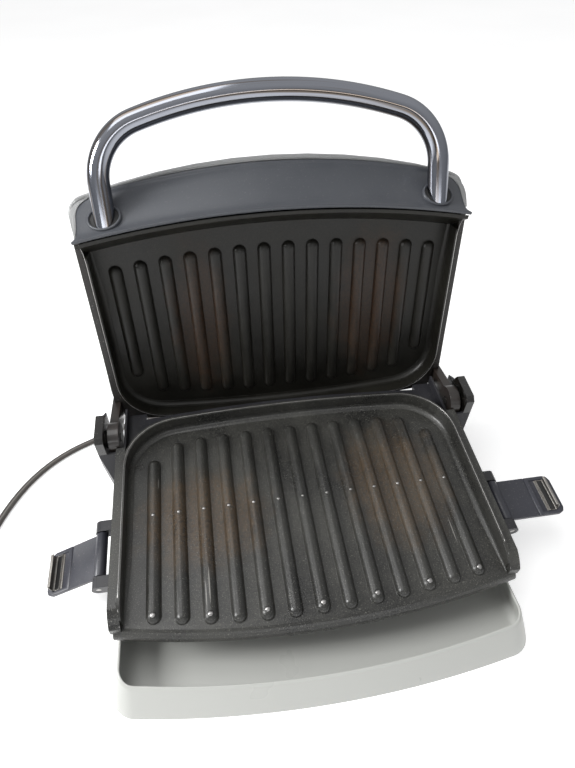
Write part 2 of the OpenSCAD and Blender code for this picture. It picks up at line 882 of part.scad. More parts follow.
module lid_frame() {
    color("#332d29") union() {
        in_upper() difference() {
            union() {
                translate([0, 0, cover_edge]) linear_extrude(frame_edge - cover_edge)
                    frame_plan(frame_half, frame_rear, 20, frame_front - 3);
                translate([0, 0, frame_back]) linear_extrude(cover_edge - frame_back)
                    frame_plan(step_half, step_rear, step_corner, frame_front);
            }
            difference() {
                translate([0, 0, deck_z]) linear_extrude(40)
                    frame_plan(step_half - frame_wall, step_rear - frame_wall, step_corner - frame_wall,
                        frame_front - 7);
                both_sides() box([138, 64, cover_edge], [160, 92, frame_edge]);
            }
            translate([0, 0, shelf_n]) linear_extrude(40)
                polygon(pan_outline(upper_half + 0.6, upper_rear + 0.6, upper_corner + 0.6,
                    upper_centre + 100, upper_bow + 120));
            box([-300, -400, shelf_n], [300, lid_shift - flange_front, 40]);
            both_sides() box([leg_in - 0.3, pin_y - leg_half - 0.3, cover_edge + 0.1],
                [200, pin_y + leg_half + 0.3, 40]);
            plate_corners() translate([0, 0, frame_back - 1]) cylinder(r = screw_r + 0.3, h = 30);
            cover_screw_places() translate([0, 0, frame_back - 1]) cylinder(r = screw_r + 0.3, h = 30);
            both_sides() translate([0, pin_y, 1]) for (y = [-4.5, 4.5])
                translate([0, y, 0]) rod_x(leg_in - 4.5, 200, screw_r);
        }
        in_upper() deck_bosses();
        both_sides() at_handle() difference() {
            union() {
                box([-3.5, -2.6, handle_end - handle_foot], [7, 25, handle_end]);
                box([-3.5, 14, handle_end - handle_foot], [7, 25, handle_end + 6]);
                translate([0, 0, handle_end - 0.1]) cylinder(r = handle_r - handle_wall - 0.3, h = 10);
            }
            translate([0, 0, handle_end - handle_foot - 1]) cylinder(r = 2.3, h = 2.2);
            translate([0, 0, handle_end - handle_foot - 1]) cylinder(r = screw_r, h = 12);
        }
    }
}

module cover_screw_places() {
    for (x = [-cover_screw_x, cover_screw_x], y = cover_screw_y) translate([x, y, 0]) children();
}

module cover_screws() {
    color("silver") in_upper() cover_screw_places() {
        translate([0, 0, frame_back - 9]) cylinder(r = screw_r, h = deck_z - frame_back + 9);
        translate([0, 0, deck_z]) cylinder(r = screw_head, h = 1.8);
    }
}

// Loop of the cover at one inset from its edge
function cover_loop(k, t) =
    let (
        d = cover_insets[k] + t,
        e = tub_outline(cover_half - d, cover_rear - d, 26 * (1 - cover_insets[k] / 125) - t / 2, rear_bow,
            cover_front - lid_shift - d, 12 * (1 - cover_insets[k] / 150) - t / 2, cover_bow),
        deep = cover_depths[k]
    )
    [for (p = e) let (
        f = max(0, min(1, (-80 - p[1]) / 26)),
        rim = cover_edge + (cover_mouth - cover_edge) * f * f * (3 - 2 * f)
    ) [p[0], p[1], rim + (t - crown - rim) * deep]];

module lid_cover() {
    last = len(cover_insets) - 1;
    color("gainsboro") in_upper() difference() {
        union() {
            difference() {
                bowl([for (k = [0:last]) cover_loop(k, 0)], [for (k = [0:last]) cover_loop(k, shell)]);
                both_sides() box([step_half + 0.5, latch_mid - 16, -18], [200, latch_mid + 16, -8]);
            }
            cover_screw_places() rod_z(cover_edge - (crown + cover_edge) * 0.82, frame_back, 4);
            both_sides() cheek();
        }
        cover_screw_places() translate([0, 0, frame_back - 9]) cylinder(r = screw_r, h = 10);
    }
}

// Tapering side edge of the cover beside the front panel
module cheek() {
    y = lid_shift - 155;
    across(step_half + 0.4, frame_half - 0.6) polygon([
        [y, cover_edge - 6], [y, cover_edge - 0.3], [y - 3.4, cover_edge - 0.3], [y - 3.4, cover_edge + 2],
        [y - 10, 2], [y - 13, 2], [y - 17, -6], [y - 20, -19], [y - 10, -21]
    ]);
}

// Surface of the front panel; row i from the lower edge up, place v from -1 to 1 across
function panel_point(i, v, t) =
    let (r = panel_rows[i], x = r[3] * v)
    [x, lid_shift - (r[1] - r[2] * pow(x / 150, 2) - t * 0.85), r[0] - t * 0.53];

module front_panel() {
    rows = len(panel_rows) - 1;
    cols = 24;
    color("slategray") in_upper() difference() {
        union() {
            slab(
                [for (i = [0:rows]) [for (j = [0:cols]) panel_point(i, j * 2 / cols - 1, 0)]],
                [for (i = [0:rows]) [for (j = [0:cols]) panel_point(i, j * 2 / cols - 1, panel_t)]]
            );
            for (x = [-100, -50, 0, 50, 100]) let (drop = 18.5 * pow((abs(x) + 5) / 150, 2))
                box([x - 5, lid_shift - 193.6 + drop, shelf_n + 0.2],
                    [x + 5, lid_shift - 166, shelf_n + 3.2]);
        }
        both_sides() upper_handle() translate([0, 0, -20]) cylinder(r = ring_neck + 0.1, h = 60);
        both_sides() translate([0, lid_shift, 0]) mirror([0, 1, 0]) difference() {
            handle_frame() translate([0, 0, -24]) cylinder(r = ring_r + 0.15, h = 48);
            ring_plane() box([-60, -60, -60], [60, 60, 0.2]);
        }
    }
}

// Places a leg's own frame, whose z runs up the leg
module handle_frame() {
    translate([handle_half, handle_s, handle_n]) rotate([-90 - handle_tilt, 0, 0]) children();
}

module at_handle() {
    in_lid() handle_frame() children();
}

module upper_handle() {
    translate([0, lid_shift, 0]) mirror([0, 1, 0]) handle_frame() children();
}

// Corner points of the handle's centre line, seen from the front, left half first
function handle_line() =
    let (
        top_c = handle_top - handle_bow,
        far = handle_bow - handle_corner,
        in = handle_half - handle_corner,
        cv = top_c + sqrt(far * far - in * in),
        turn = atan2(cv - top_c, in)
    )
    concat(
        [for (z = [handle_end, 8]) [-handle_half, z, 180]],
        [for (k = [0:12]) let (a = 180 - turn * k / 12)
            [-in + handle_corner * cos(a), cv + handle_corner * sin(a), a]],
        [for (k = [1:13]) let (a = 180 - turn - (180 - 2 * turn) * k / 14)
            [handle_bow * cos(a), top_c + handle_bow * sin(a), a]],
        [for (k = [12:-1:0]) let (a = turn * k / 12)
            [in + handle_corner * cos(a), cv + handle_corner * sin(a), a]],
        [for (z = [8, handle_end]) [handle_half, z, 0]]
    );

function handle_loop(p, r) =
    [for (k = [0:handle_sides - 1]) let (w = 360 * k / handle_sides)
        [p[0] + r * cos(w) * cos(p[2]), r * sin(w), p[1] + r * cos(w) * sin(p[2])]];

// Pipe between an outer and an inner row of loops, open at both ends
module pipe(outer, inner) {
    n = len(outer[0]);
    m = len(outer);
    o = n * m;
    e = o - n;
    polyhedron(concat([for (l = outer) each l], [for (l = inner) each l]), concat(
        [for (f = loop_faces(n, m, 0)) [f[2], f[1], f[0]]],
        loop_faces(n, m, o),
        [for (k = [0:n - 1]) let (j = (k + 1) % n) each [
            [k, j + o, j], [k, k + o, j + o],
            [k + e, j + e, j + e + o], [k + e, j + e + o, k + e + o]
        ]]
    ));
}

module handle_tube() {
    line = handle_line();
    color("silver") at_handle() translate([-handle_half, 0, 0])
        pipe([for (p = line) handle_loop(p, handle_r)], [for (p = line) handle_loop(p, handle_r - handle_wall)]);
}

// Collars that line the panel's holes round the handle legs
module handle_rings() {
    color("slategray") both_sides() in_lid() difference() {
        handle_frame() translate([0, 0, -24]) cylinder(r = ring_r, h = 48);
        handle_frame() translate([0, 0, -25]) cylinder(r = ring_hole, h = 50);
        ring_plane() box([-60, -60, 1.6], [60, 60, 60]);
        ring_plane() box([-60, -60, -60], [60, 60, -3.6]);
        translate([handle_half, handle_s, handle_n]) rotate([0, 0, ring_turn])
            rotate([90 - plate_slope, 0, 0])
            box([-60, -60, ring_room], [60, 60, 60]);
        difference() {
            ring_plane() box([-60, -60, -60], [60, 60, 0.35]);
            handle_frame() translate([0, 0, -60]) cylinder(r = ring_neck, h = 120);
        }
    }
}

// Plane that touches the panel where a leg rises
module ring_plane() {
    translate([handle_half, handle_s, handle_n]) rotate([0, 0, ring_turn]) rotate([-58.5, 0, 0]) children();
}

module handle_screws() {
    color("silver") both_sides() at_handle() {
        translate([0, 0, handle_end - handle_foot + 0.1]) cylinder(r = 2.2, h = 1.1);
        translate([0, 0, handle_end - handle_foot + 1.2]) cylinder(r = screw_r, h = 9);
    }
}

// Latch flap in its own frame: u away from the pin, y along it, upwards z
module latch_flap() {
    w2 = latch_w / 2;
    tip = latch_len;
    difference() {
        union() {
            rod_y(-w2, w2, 4.5);
            translate([0, 0, -latch_t / 2]) linear_extrude(latch_t) polygon([
                [0, -w2], [tip - 5, -w2], [tip - 1.5, -w2 + 1.5], [tip, -w2 + 5],
                [tip, w2 - 5], [tip - 1.5, w2 - 1.5], [tip - 5, w2], [0, w2]
            ]);
        }
        rod_y(-w2 - 1, w2 + 1, latch_pin_r + pin_clear);
        box([clip_u - 13.5, -w2 - 1, latch_t / 2 - 0.6], [clip_u - 12.7, w2 + 1, latch_t]);
        box([clip_u - 9, -clip_len / 2 - 0.5, 0.5], [clip_u + 3.5, clip_len / 2 + 0.5, latch_t]);
    }
}

// Bent sheet hook on the flap that catches the side of the shut lid
module clip_shape() {
    e = clip_len / 2;
    difference() {
        along(-e, e) polygon([
            [clip_u - 8.6, 0.5], [clip_u + 3.2, 0.5], [clip_u + 3.2, clip_h], [clip_u - 2.4, clip_h - 0.6],
            [clip_u - 2.4, clip_h - 1.8], [clip_u + 2, clip_h - 1.4], [clip_u + 2, 1.5], [clip_u - 8.6, 1.5]
        ]);
        for (m = [0, 1]) mirror([0, m, 0]) translate([0, e, 0]) rotate([14, 0, 0])
            box([clip_u - 20, 0, 1.6], [clip_u + 20, 9, 20]);
    }
}

module place_latch(droop) {
    on_plate() translate([latch_x, latch_mid, latch_z]) rotate([0, droop, 0]) children();
}

module right_latch() {
    color("slategray") place_latch(0) latch_flap();
}

module left_latch() {
    color("slategray") mirror([1, 0, 0]) place_latch(left_droop) latch_flap();
}

module right_latch_clip() {
    color("tan") place_latch(0) clip_shape();
}

module left_latch_clip() {
    color("tan") mirror([1, 0, 0]) place_latch(left_droop) clip_shape();
}

module latch_pin() {
    reach = latch_w / 2 + 0.3 + ear_t;
    place_latch(0) rod_y(-reach, reach, latch_pin_r);
}

module right_latch_pin() {
    color("silver") latch_pin();
}

module left_latch_pin() {
    color("silver") mirror([1, 0, 0]) latch_pin();
}

// Drip tray that stands under the lip and slides out to the front
function tray_loop(z, d) =
    let (lean = max(0, z - 1) / 22)
    [for (p = tub_outline(tray_half - d - 6 * lean, apron_y - 0.3 - d, 12 - d, 4000,
        155.3 - d - 11 * pow(lean, 1.2), 19 - 5 * lean - 0.8 * d, 840)) [p[0], p[1], z]];

module drip_tray() {
    top = tray_h + 2;
    fillet = 8;
    color("lightgray") difference() {
        loft(concat([tray_loop(0, 0.7)], [for (z = [0.7, 2, 6, 11, 16, 21, top]) tray_loop(z, 0)]));
        loft(concat(
            [for (k = [0:6]) tray_loop(tray_wall + fillet * (1 - cos(15 * k)),
                tray_wall + fillet * (1 - sin(15 * k)))],
            [for (z = [14, 19, top + 3]) tray_loop(z, tray_wall)]
        ));
        translate([0, -144, tray_h - 1.6]) rotate([10, 0, 0]) box([-200, -60, 0], [200, 60, 60]);
    }
}

// Grommet that grips the lead where it leaves the base
module strain_relief() {
    out = relief_seat + 0.1;
    color("#3a3a3c") translate([relief_x, 0, relief_z]) {
        rod_y(out - 6, out, 5.8);
        rod_y(out, out + 2, 8);
        translate([0, out + 2, 0]) rotate([-90, 0, 0]) cylinder(r1 = 6, r2 = 4.2, h = relief_y - out - 2);
        for (y = [out + 5:4:relief_y - 5]) translate([0, y, 0]) rotate([-90, 0, 0]) cylinder(r = 6, h = 1.6);
    }
}

module power_cord() {
    color("#4a4642") tube(lead_route, lead_w / 2, lead_t / 2, 8);
}

coil_c = coil_end + [-coil_r, -coil_straight, 0];
coil_total = 360 * coil_turns;

function coil_point(a) =
    let (
        half = coil_total / 2,
        r = coil_r - coil_pitch * min(a, coil_total - a) / 360,
        c = max(0, min(1, (a - half + 90) / 180))
    )
    coil_c + [r * cos(a), -r * sin(a), coil_rise * c * c * (3 - 2 * c)];

coil_path = concat(
    [coil_end],
    [for (i = [0:coil_total * coil_rings / 360]) coil_point(i * 360 / coil_rings)],
    [for (k = [1:4]) coil_point(coil_total) + [0, coil_tail * k / 4, 0]]
);
coil_gap = min([for (i = [0:len(coil_path) - 1], j = [i + 8:1:len(coil_path) - 1]) let (
    d = coil_path[j] - coil_path[i]
) norm([d[0] / lead_w, d[1] / lead_w, d[2] / lead_t])]);
echo(coil_gap_share = coil_gap);

module cord_coil() {
    color("#4a4642") tube(coil_path, lead_w / 2, lead_t / 2 / cos(30), 6);
}

plug_at = coil_path[len(coil_path) - 1];

module plug_body() {
    c = plug_w / 2;
    color("#2e2c2b") translate(plug_at) {
        translate([0, 0, -plug_h / 2]) linear_extrude(plug_h) polygon([
            [-5, 0], [5, 0], [6, 9], [c - 1, 15], [c, 19], [c, plug_len - 2], [c - 2, plug_len],
            [2 - c, plug_len], [-c, plug_len - 2], [-c, 19], [1 - c, 15], [-6, 9]
        ]);
    }
}

module plug_blades() {
    color("silver") translate(plug_at) for (sx = [-1, 1])
        box([sx * blade_gap / 2 - 0.8, plug_len, -3.2], [sx * blade_gap / 2 + 0.8, plug_len + 17, 3.2]);
}

base_housing();
base_cover();
rubber_feet();
base_screws();
lower_plate();
lower_plate_screws();
lower_element();
lower_reflector();
thermostat();
thermal_fuse();
terminal_block();
base_wiring();
left_hinge_bracket();
right_hinge_bracket();
bracket_screws();
left_hinge_pin();
right_hinge_pin();
left_lid_arm();
right_lid_arm();
arm_screws();
lid_frame();
lid_cover();
cover_screws();
front_panel();
upper_plate();
upper_plate_screws();
upper_element();
upper_reflector();
lid_thermostat();
lid_wiring();
handle_tube();
handle_rings();
handle_screws();
left_latch();
left_latch_clip();
left_latch_pin();
right_latch();
right_latch_clip();
right_latch_pin();
drip_tray();
strain_relief();
power_cord();
cord_coil();
plug_body();
plug_blades();
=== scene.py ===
import logging
import math
from dataclasses import dataclass
from enum import Enum
from typing import Callable, Sequence

import bmesh
import bpy
from mathutils import Matrix, Vector


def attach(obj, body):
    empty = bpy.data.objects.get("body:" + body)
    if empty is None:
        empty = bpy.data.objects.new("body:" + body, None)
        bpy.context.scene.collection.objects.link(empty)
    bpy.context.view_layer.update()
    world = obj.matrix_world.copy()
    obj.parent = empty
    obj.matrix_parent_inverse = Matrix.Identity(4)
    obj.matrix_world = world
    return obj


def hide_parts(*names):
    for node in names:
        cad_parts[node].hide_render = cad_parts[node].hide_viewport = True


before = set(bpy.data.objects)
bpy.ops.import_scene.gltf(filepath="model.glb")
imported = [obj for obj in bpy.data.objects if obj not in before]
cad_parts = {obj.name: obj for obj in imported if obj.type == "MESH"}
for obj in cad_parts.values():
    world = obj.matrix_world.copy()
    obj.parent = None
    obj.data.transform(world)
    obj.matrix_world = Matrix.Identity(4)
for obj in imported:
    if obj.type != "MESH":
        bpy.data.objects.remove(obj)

LOG = logging.getLogger("grill")
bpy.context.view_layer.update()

Pair = tuple[float, float]
Point = tuple[float, float, float]
Colour = tuple[float, float, float]
Mesh = bmesh.types.BMesh
Material = bpy.types.Material
Piece = bpy.types.Object
Socket = bpy.types.NodeSocket


def moved(parent: Matrix, place: Point, turn: float = 0.0) -> Matrix:
    """Frame at a place in its parent's frame, turned about x by degrees."""
    return parent @ Matrix.Translation(place) @ Matrix.Rotation(math.radians(turn), 4, "X")


# Slope of the lower plate, turn of the open lid from it, and turn of the handle's plane in the lid
PLATE_SLOPE = 7.0
LID_TURN = 78.7
HANDLE_TURN = -106.0
# Way along the lid from its own origin to the middle of the upper plate, in millimetres
UPPER_AT = 73.2

MM = Matrix.Scale(0.001, 4)
PLATE = moved(MM, (0, -19, 60), PLATE_SLOPE)
LID = moved(moved(PLATE, (0, 78, 4), LID_TURN), (0, 4.8, -44.6))
UPPER = moved(LID, (0, UPPER_AT, 0)) @ Matrix.Scale(-1, 4, (0, 1, 0))
HANDLE = moved(LID, (0, 173.9, 5.3), HANDLE_TURN)


class Body(Enum):
    """Bodies of the frame that pieces ride on."""

    BASE = "base"
    LID = "lid"
    TRAY = "tray"
    LEFT_LATCH = "left_latch_flap"
    RIGHT_LATCH = "right_latch_flap"


class Slot(Enum):
    """Material slots of the record."""

    COAT = "plate_coat"
    COVER = "cover_silver"
    PANEL = "panel_slate"
    CHROME = "handle_chrome"
    TRAY = "tray_grey"
    CORD = "cord_sheath"
    PLUG = "plug_rubber"
    LATCH = "latch_slate"
    CLIP = "clip_metal"


# Finishes


def tint(colour: Colour, factor: float) -> Colour:
    """Makes a colour darker or lighter."""
    return tuple(min(1.0, factor * c) for c in colour)


class Recipe:
    """One node material while it is put together."""

    def __init__(self, name: str) -> None:
        """Starts a material that holds a principled shader and its output.

        Args:
            name: name of the material.
        """
        self.material = bpy.data.materials.new(name)
        self.material.use_nodes = True
        self.tree = self.material.node_tree
        self.shader = next(n for n in self.tree.nodes if n.type == "BSDF_PRINCIPLED")

    def node(self, kind: str, feeds: dict[int | str, object], **settings: object) -> bpy.types.Node:
        """Adds a node.

        Args:
            kind: the node's class name without its prefix.
            feeds: what goes to its inputs, by their numbers or names.
            settings: properties to set on it.

        Returns:
            The new node.
        """
        made = self.tree.nodes.new("ShaderNode" + kind)
        for key, value in settings.items():
            setattr(made, key, value)
        for key, value in feeds.items():
            self.feed(made.inputs[key], value)
        return made

    def feed(self, target: Socket, value: object) -> None:
        """Links a socket to an input, or sets the input to a plain value.

        Args:
            target: the input.
            value: a socket, a number, a colour or a vector.
        """
        if isinstance(value, bpy.types.NodeSocket):
            self.tree.links.new(value, target)
        elif target.type == "RGBA":
            target.default_value = (*value, 1.0)
        else:
            target.default_value = value

    def constant(self, **values: float) -> None:
        """Sets plain numbers on the shader; an underscore in a name stands for a space."""
        for key, value in values.items():
            self.shader.inputs[key.replace("_", " ")].default_value = value

    def place(self, origin: Point = (0, 0, 0), angle: float = 0.0) -> Socket:
        """Object coordinates seen from a frame that is turned about x.

        Args:
            origin: where the frame starts, in metres.
            angle: its turn about x in degrees.

        Returns:
            The vector socket.
        """
        at = self.node("TexCoord", {}).outputs["Object"]
        if origin == (0, 0, 0):
            return at
        feeds = {"Vector": self.vector("SUBTRACT", at, origin), "Angle": -math.radians(angle)}
        return self.node("VectorRotate", feeds, rotation_type="X_AXIS").outputs[0]

    def skin(self) -> Socket:
        """The stored place on a swept piece: across, up and along, in metres."""
        return self.node("Attribute", {}, attribute_name="skin").outputs["Vector"]

    def vector(self, operation: str, a: object, b: object = (0, 0, 0)) -> Socket:
        """Vector arithmetic; a length comes back as a number."""
        made = self.node("VectorMath", {0: a, 1: b}, operation=operation)
        return made.outputs["Value" if operation == "LENGTH" else "Vector"]

    def parts(self, vector: Socket) -> tuple[Socket, ...]:
        """Splits a vector into its three numbers."""
        return tuple(self.node("SeparateXYZ", {0: vector}).outputs)

    def calc(self, operation: str, a: object, b: object = 0.0) -> Socket:
        """Arithmetic on numbers."""
        return self.node("Math", {0: a, 1: b}, operation=operation).outputs[0]

    def times(self, a: object, b: object) -> Socket:
        """Product of two numbers."""
        return self.calc("MULTIPLY", a, b)

    def weigh(self, a: Socket, b: Socket, share: float) -> Socket:
        """A share of one number and the rest of another."""
        return self.calc("ADD", self.times(a, share), self.times(b, 1 - share))

    def noise(self, at: Socket, scale: float, detail: float = 2.0, squash: Point = (1, 1, 1)) -> Socket:
        """Cloudy noise.

        Args:
            at: coordinates in metres.
            scale: cells per metre.
            detail: octaves.
            squash: factor on each axis before the noise.

        Returns:
            A number round 0.5.
        """
        if squash != (1, 1, 1):
            at = self.vector("MULTIPLY", at, squash)
        return self.node("TexNoise", {"Vector": at, "Scale": scale, "Detail": detail}).outputs["Fac"]

    def span(self, value: Socket, low: float, high: float, to_low: float = 0.0,
             to_high: float = 1.0) -> Socket:
        """Maps a range of numbers to another, smoothly and within its ends."""
        feeds = dict(enumerate((value, low, high, to_low, to_high)))
        return self.node("MapRange", feeds, interpolation_type="SMOOTHSTEP").outputs[0]

    def blend(self, share: Socket, a: object, b: object) -> Socket:
        """Mixes two colours by a share."""
        return self.node("Mix", {0: share, 6: a, 7: b}, data_type="RGBA").outputs[2]

    def bump(self, height: Socket, depth: float, under: Socket | None = None) -> Socket:
        """Turns a height into a normal.

        Args:
            height: the height from 0 to 1.
            depth: what 1 stands for, in metres.
            under: a normal that this one is laid over.

        Returns:
            The normal socket.
        """
        feeds = {"Distance": depth, "Height": height}
        if under is not None:
            feeds["Normal"] = under
        return self.node("Bump", feeds).outputs[0]

    def rounded(self, radius: float) -> Socket:
        """Normal that rounds hard edges by a radius in metres."""
        return self.node("Bevel", {"Radius": radius}, samples=4).outputs[0]

    def finish(self, colour: Socket, rough: Socket, normal: Socket) -> Material:
        """Links the three main inputs.

        Args:
            colour: the base colour.
            rough: the roughness.
            normal: the normal.

        Returns:
            The finished material.
        """
        for name, value in (("Base Color", colour), ("Roughness", rough), ("Normal", normal)):
            self.feed(self.shader.inputs[name], value)
        return self.material


@dataclass(frozen=True)
class Satin:
    """Moulded, painted or rolled surface with a fine grain, slow mottling and maybe pale dust.

    Grain, mottle and dust_grain are cells per metre; depth and edge are metres.
    """

    name: str
    colour: Colour
    shade: Colour
    roughness: float = 0.45
    metallic: float = 0.0
    grain: float = 1400.0
    depth: float = 0.00006
    mottle: float = 24.0
    edge: float = 0.0006
    coat: float = 0.0
    speck: float = 0.0
    draw: Point = (1, 1, 1)
    dust: Colour = (0.62, 0.58, 0.52)
    dust_grain: float = 700.0

    def make(self) -> Material:
        """Builds the material.

        Returns:
            The new material.
        """
        r = Recipe(self.name)
        at = r.place()
        cloud = r.noise(at, self.mottle, 4)
        fine = r.noise(at, self.grain, 2, self.draw)
        colour = r.blend(r.span(r.weigh(cloud, fine, 0.55), 0.36, 0.64), self.shade, self.colour)
        if self.speck:
            dust = r.span(r.noise(at, self.dust_grain, 1), 0.66, 0.74)
            colour = r.blend(r.times(dust, self.speck), colour, self.dust)
        rough = r.span(cloud, 0.3, 0.7, self.roughness - 0.05, self.roughness + 0.07)
        normal = r.bump(fine, self.depth, r.rounded(self.edge) if self.edge else None)
        r.constant(Metallic=self.metallic, Coat_Weight=self.coat, Coat_Roughness=0.08)
        return r.finish(colour, rough, normal)


@dataclass(frozen=True)
class Patch:
    """Stain or scratch on a plate: its middle and half sizes, in metres in the plate's frame."""

    middle: Point
    reach: Point
    strength: float

    def away(self, r: Recipe, at: Socket) -> Socket:
        """How far a place is from the middle, counted in half sizes."""
        return r.vector("LENGTH", r.vector("DIVIDE", r.vector("SUBTRACT", at, self.middle), self.reach))


@dataclass(frozen=True)
class PlateCoat:
    """Non-stick coating of a cast plate, speckled, stained by use, with painted shade on its ribs.

    Grains are cells per metre, depths and the edge metres. The rib heights, in metres, are those
    between which the painted shade on the ribs fades in and those between which it fades out.
    """

    name: str
    dark: Colour
    light: Colour
    stain: Colour
    origin: Point
    angle: float
    patches: tuple[Patch, ...]
    scratches: tuple[Patch, ...]
    speckle: float
    # Share of painted shade that darkens the ribs
    crest: float
    roughness: float
    gloss: float
    scratched: Colour = (0.30, 0.29, 0.27)
    cloud_grain: float = 16.0
    fine_grain: float = 1500.0
    fine_depth: float = 0.00009
    ragged_grain: float = 70.0
    ragged_depth: float = 0.0002
    crumb_grain: float = 420.0
    speckle_grain: float = 1150.0
    rib: tuple[Pair, Pair] = ((-0.0046, -0.0012), (0.0012, 0.003))
    edge: float = 0.0008

    def make(self) -> Material:
        """Builds the material.

        Returns:
            The new material.
        """
        r = Recipe(self.name)
        at = r.place(self.origin, self.angle)
        _, _, z = r.parts(at)
        cloud = r.noise(at, self.cloud_grain, 4)
        fine = r.noise(at, self.fine_grain, 2)
        colour = r.blend(r.span(r.weigh(cloud, fine, 0.45), 0.36, 0.64), self.dark, self.light)
        # Painted shade: the ribs are painted darker, standing in for the shade on their flanks
        rib_shade = r.times(r.span(z, *self.rib[0]), r.span(z, *self.rib[1], 1.0, 0.0))
        colour = r.blend(r.times(rib_shade, self.crest), colour, tint(self.dark, 0.5))
        ragged = r.noise(at, self.ragged_grain, 5)
        crumbs = r.span(r.noise(at, self.crumb_grain, 3), 0.30, 0.62, 0.25, 1.0)
        for patch in self.patches:
            near = r.calc("SUBTRACT", patch.away(r, at), r.times(ragged, 0.9))
            share = r.times(r.span(near, 0.0, 0.62, 1.0, 0.0), patch.strength)
            colour = r.blend(r.times(share, crumbs), colour, self.stain)
        for scratch in self.scratches:
            share = r.span(scratch.away(r, at), 0.5, 1.0, scratch.strength, 0.0)
            colour = r.blend(share, colour, self.scratched)
        dots = r.span(r.noise(at, self.speckle_grain, 1), 0.63, 0.72)
        colour = r.blend(r.times(dots, self.speckle), colour, tint(self.light, 4.0))
        rough = r.span(cloud, 0.3, 0.7, self.roughness - 0.06, self.roughness + 0.08)
        normal = r.bump(ragged, self.ragged_depth, r.rounded(self.edge))
        r.constant(Specular_IOR_Level=self.gloss)
        return r.finish(colour, rough, r.bump(fine, self.fine_depth, normal))


@dataclass(frozen=True)
class Chrome:
    """Bright plated tube with faint drawn lines along it and a little tarnish."""

    name: str
    colour: Colour
    tarnish: Colour
    line_grain: float = 330.0
    line_depth: float = 0.00004

    def make(self) -> Material:
        """Builds the material.

        Returns:
            The new material.
        """
        r = Recipe(self.name)
        at = r.skin()
        lines = r.noise(at, self.line_grain, 2, (1, 1, 0.015))
        cloud = r.noise(at, 30, 3, (1, 1, 0.3))
        colour = r.blend(r.span(lines, 0.52, 0.68), self.colour, self.tarnish)
        r.constant(Metallic=1.0)
        return r.finish(colour, r.span(cloud, 0.3, 0.7, 0.07, 0.16), r.bump(lines, self.line_depth))


@dataclass(frozen=True)
class TwinSheath:
    """Sheath of a flat twin lead, with a painted highlight along the waist between its cores."""

    name: str
    colour: Colour
    # Colour of the painted highlight along the waist, and the half widths over which it fades
    highlight_colour: Colour
    highlight_half: Pair = (0.0003, 0.0009)
    grain_depth: float = 0.00005

    def make(self) -> Material:
        """Builds the material.

        Returns:
            The new material.
        """
        r = Recipe(self.name)
        at = r.skin()
        across, _, _ = r.parts(at)
        grain = r.noise(at, 900, 3, (1, 1, 0.3))
        # Painted highlight: the waist between the cores is painted lighter, standing in for the sheen
        # along it
        share = r.span(r.calc("ABSOLUTE", across), *self.highlight_half, 0.75, 0.0)
        base = r.blend(r.span(grain, 0.35, 0.65), self.colour, tint(self.colour, 0.7))
        rough = r.span(grain, 0.3, 0.7, 0.38, 0.5)
        return r.finish(r.blend(share, base, self.highlight_colour), rough, r.bump(grain, self.grain_depth))


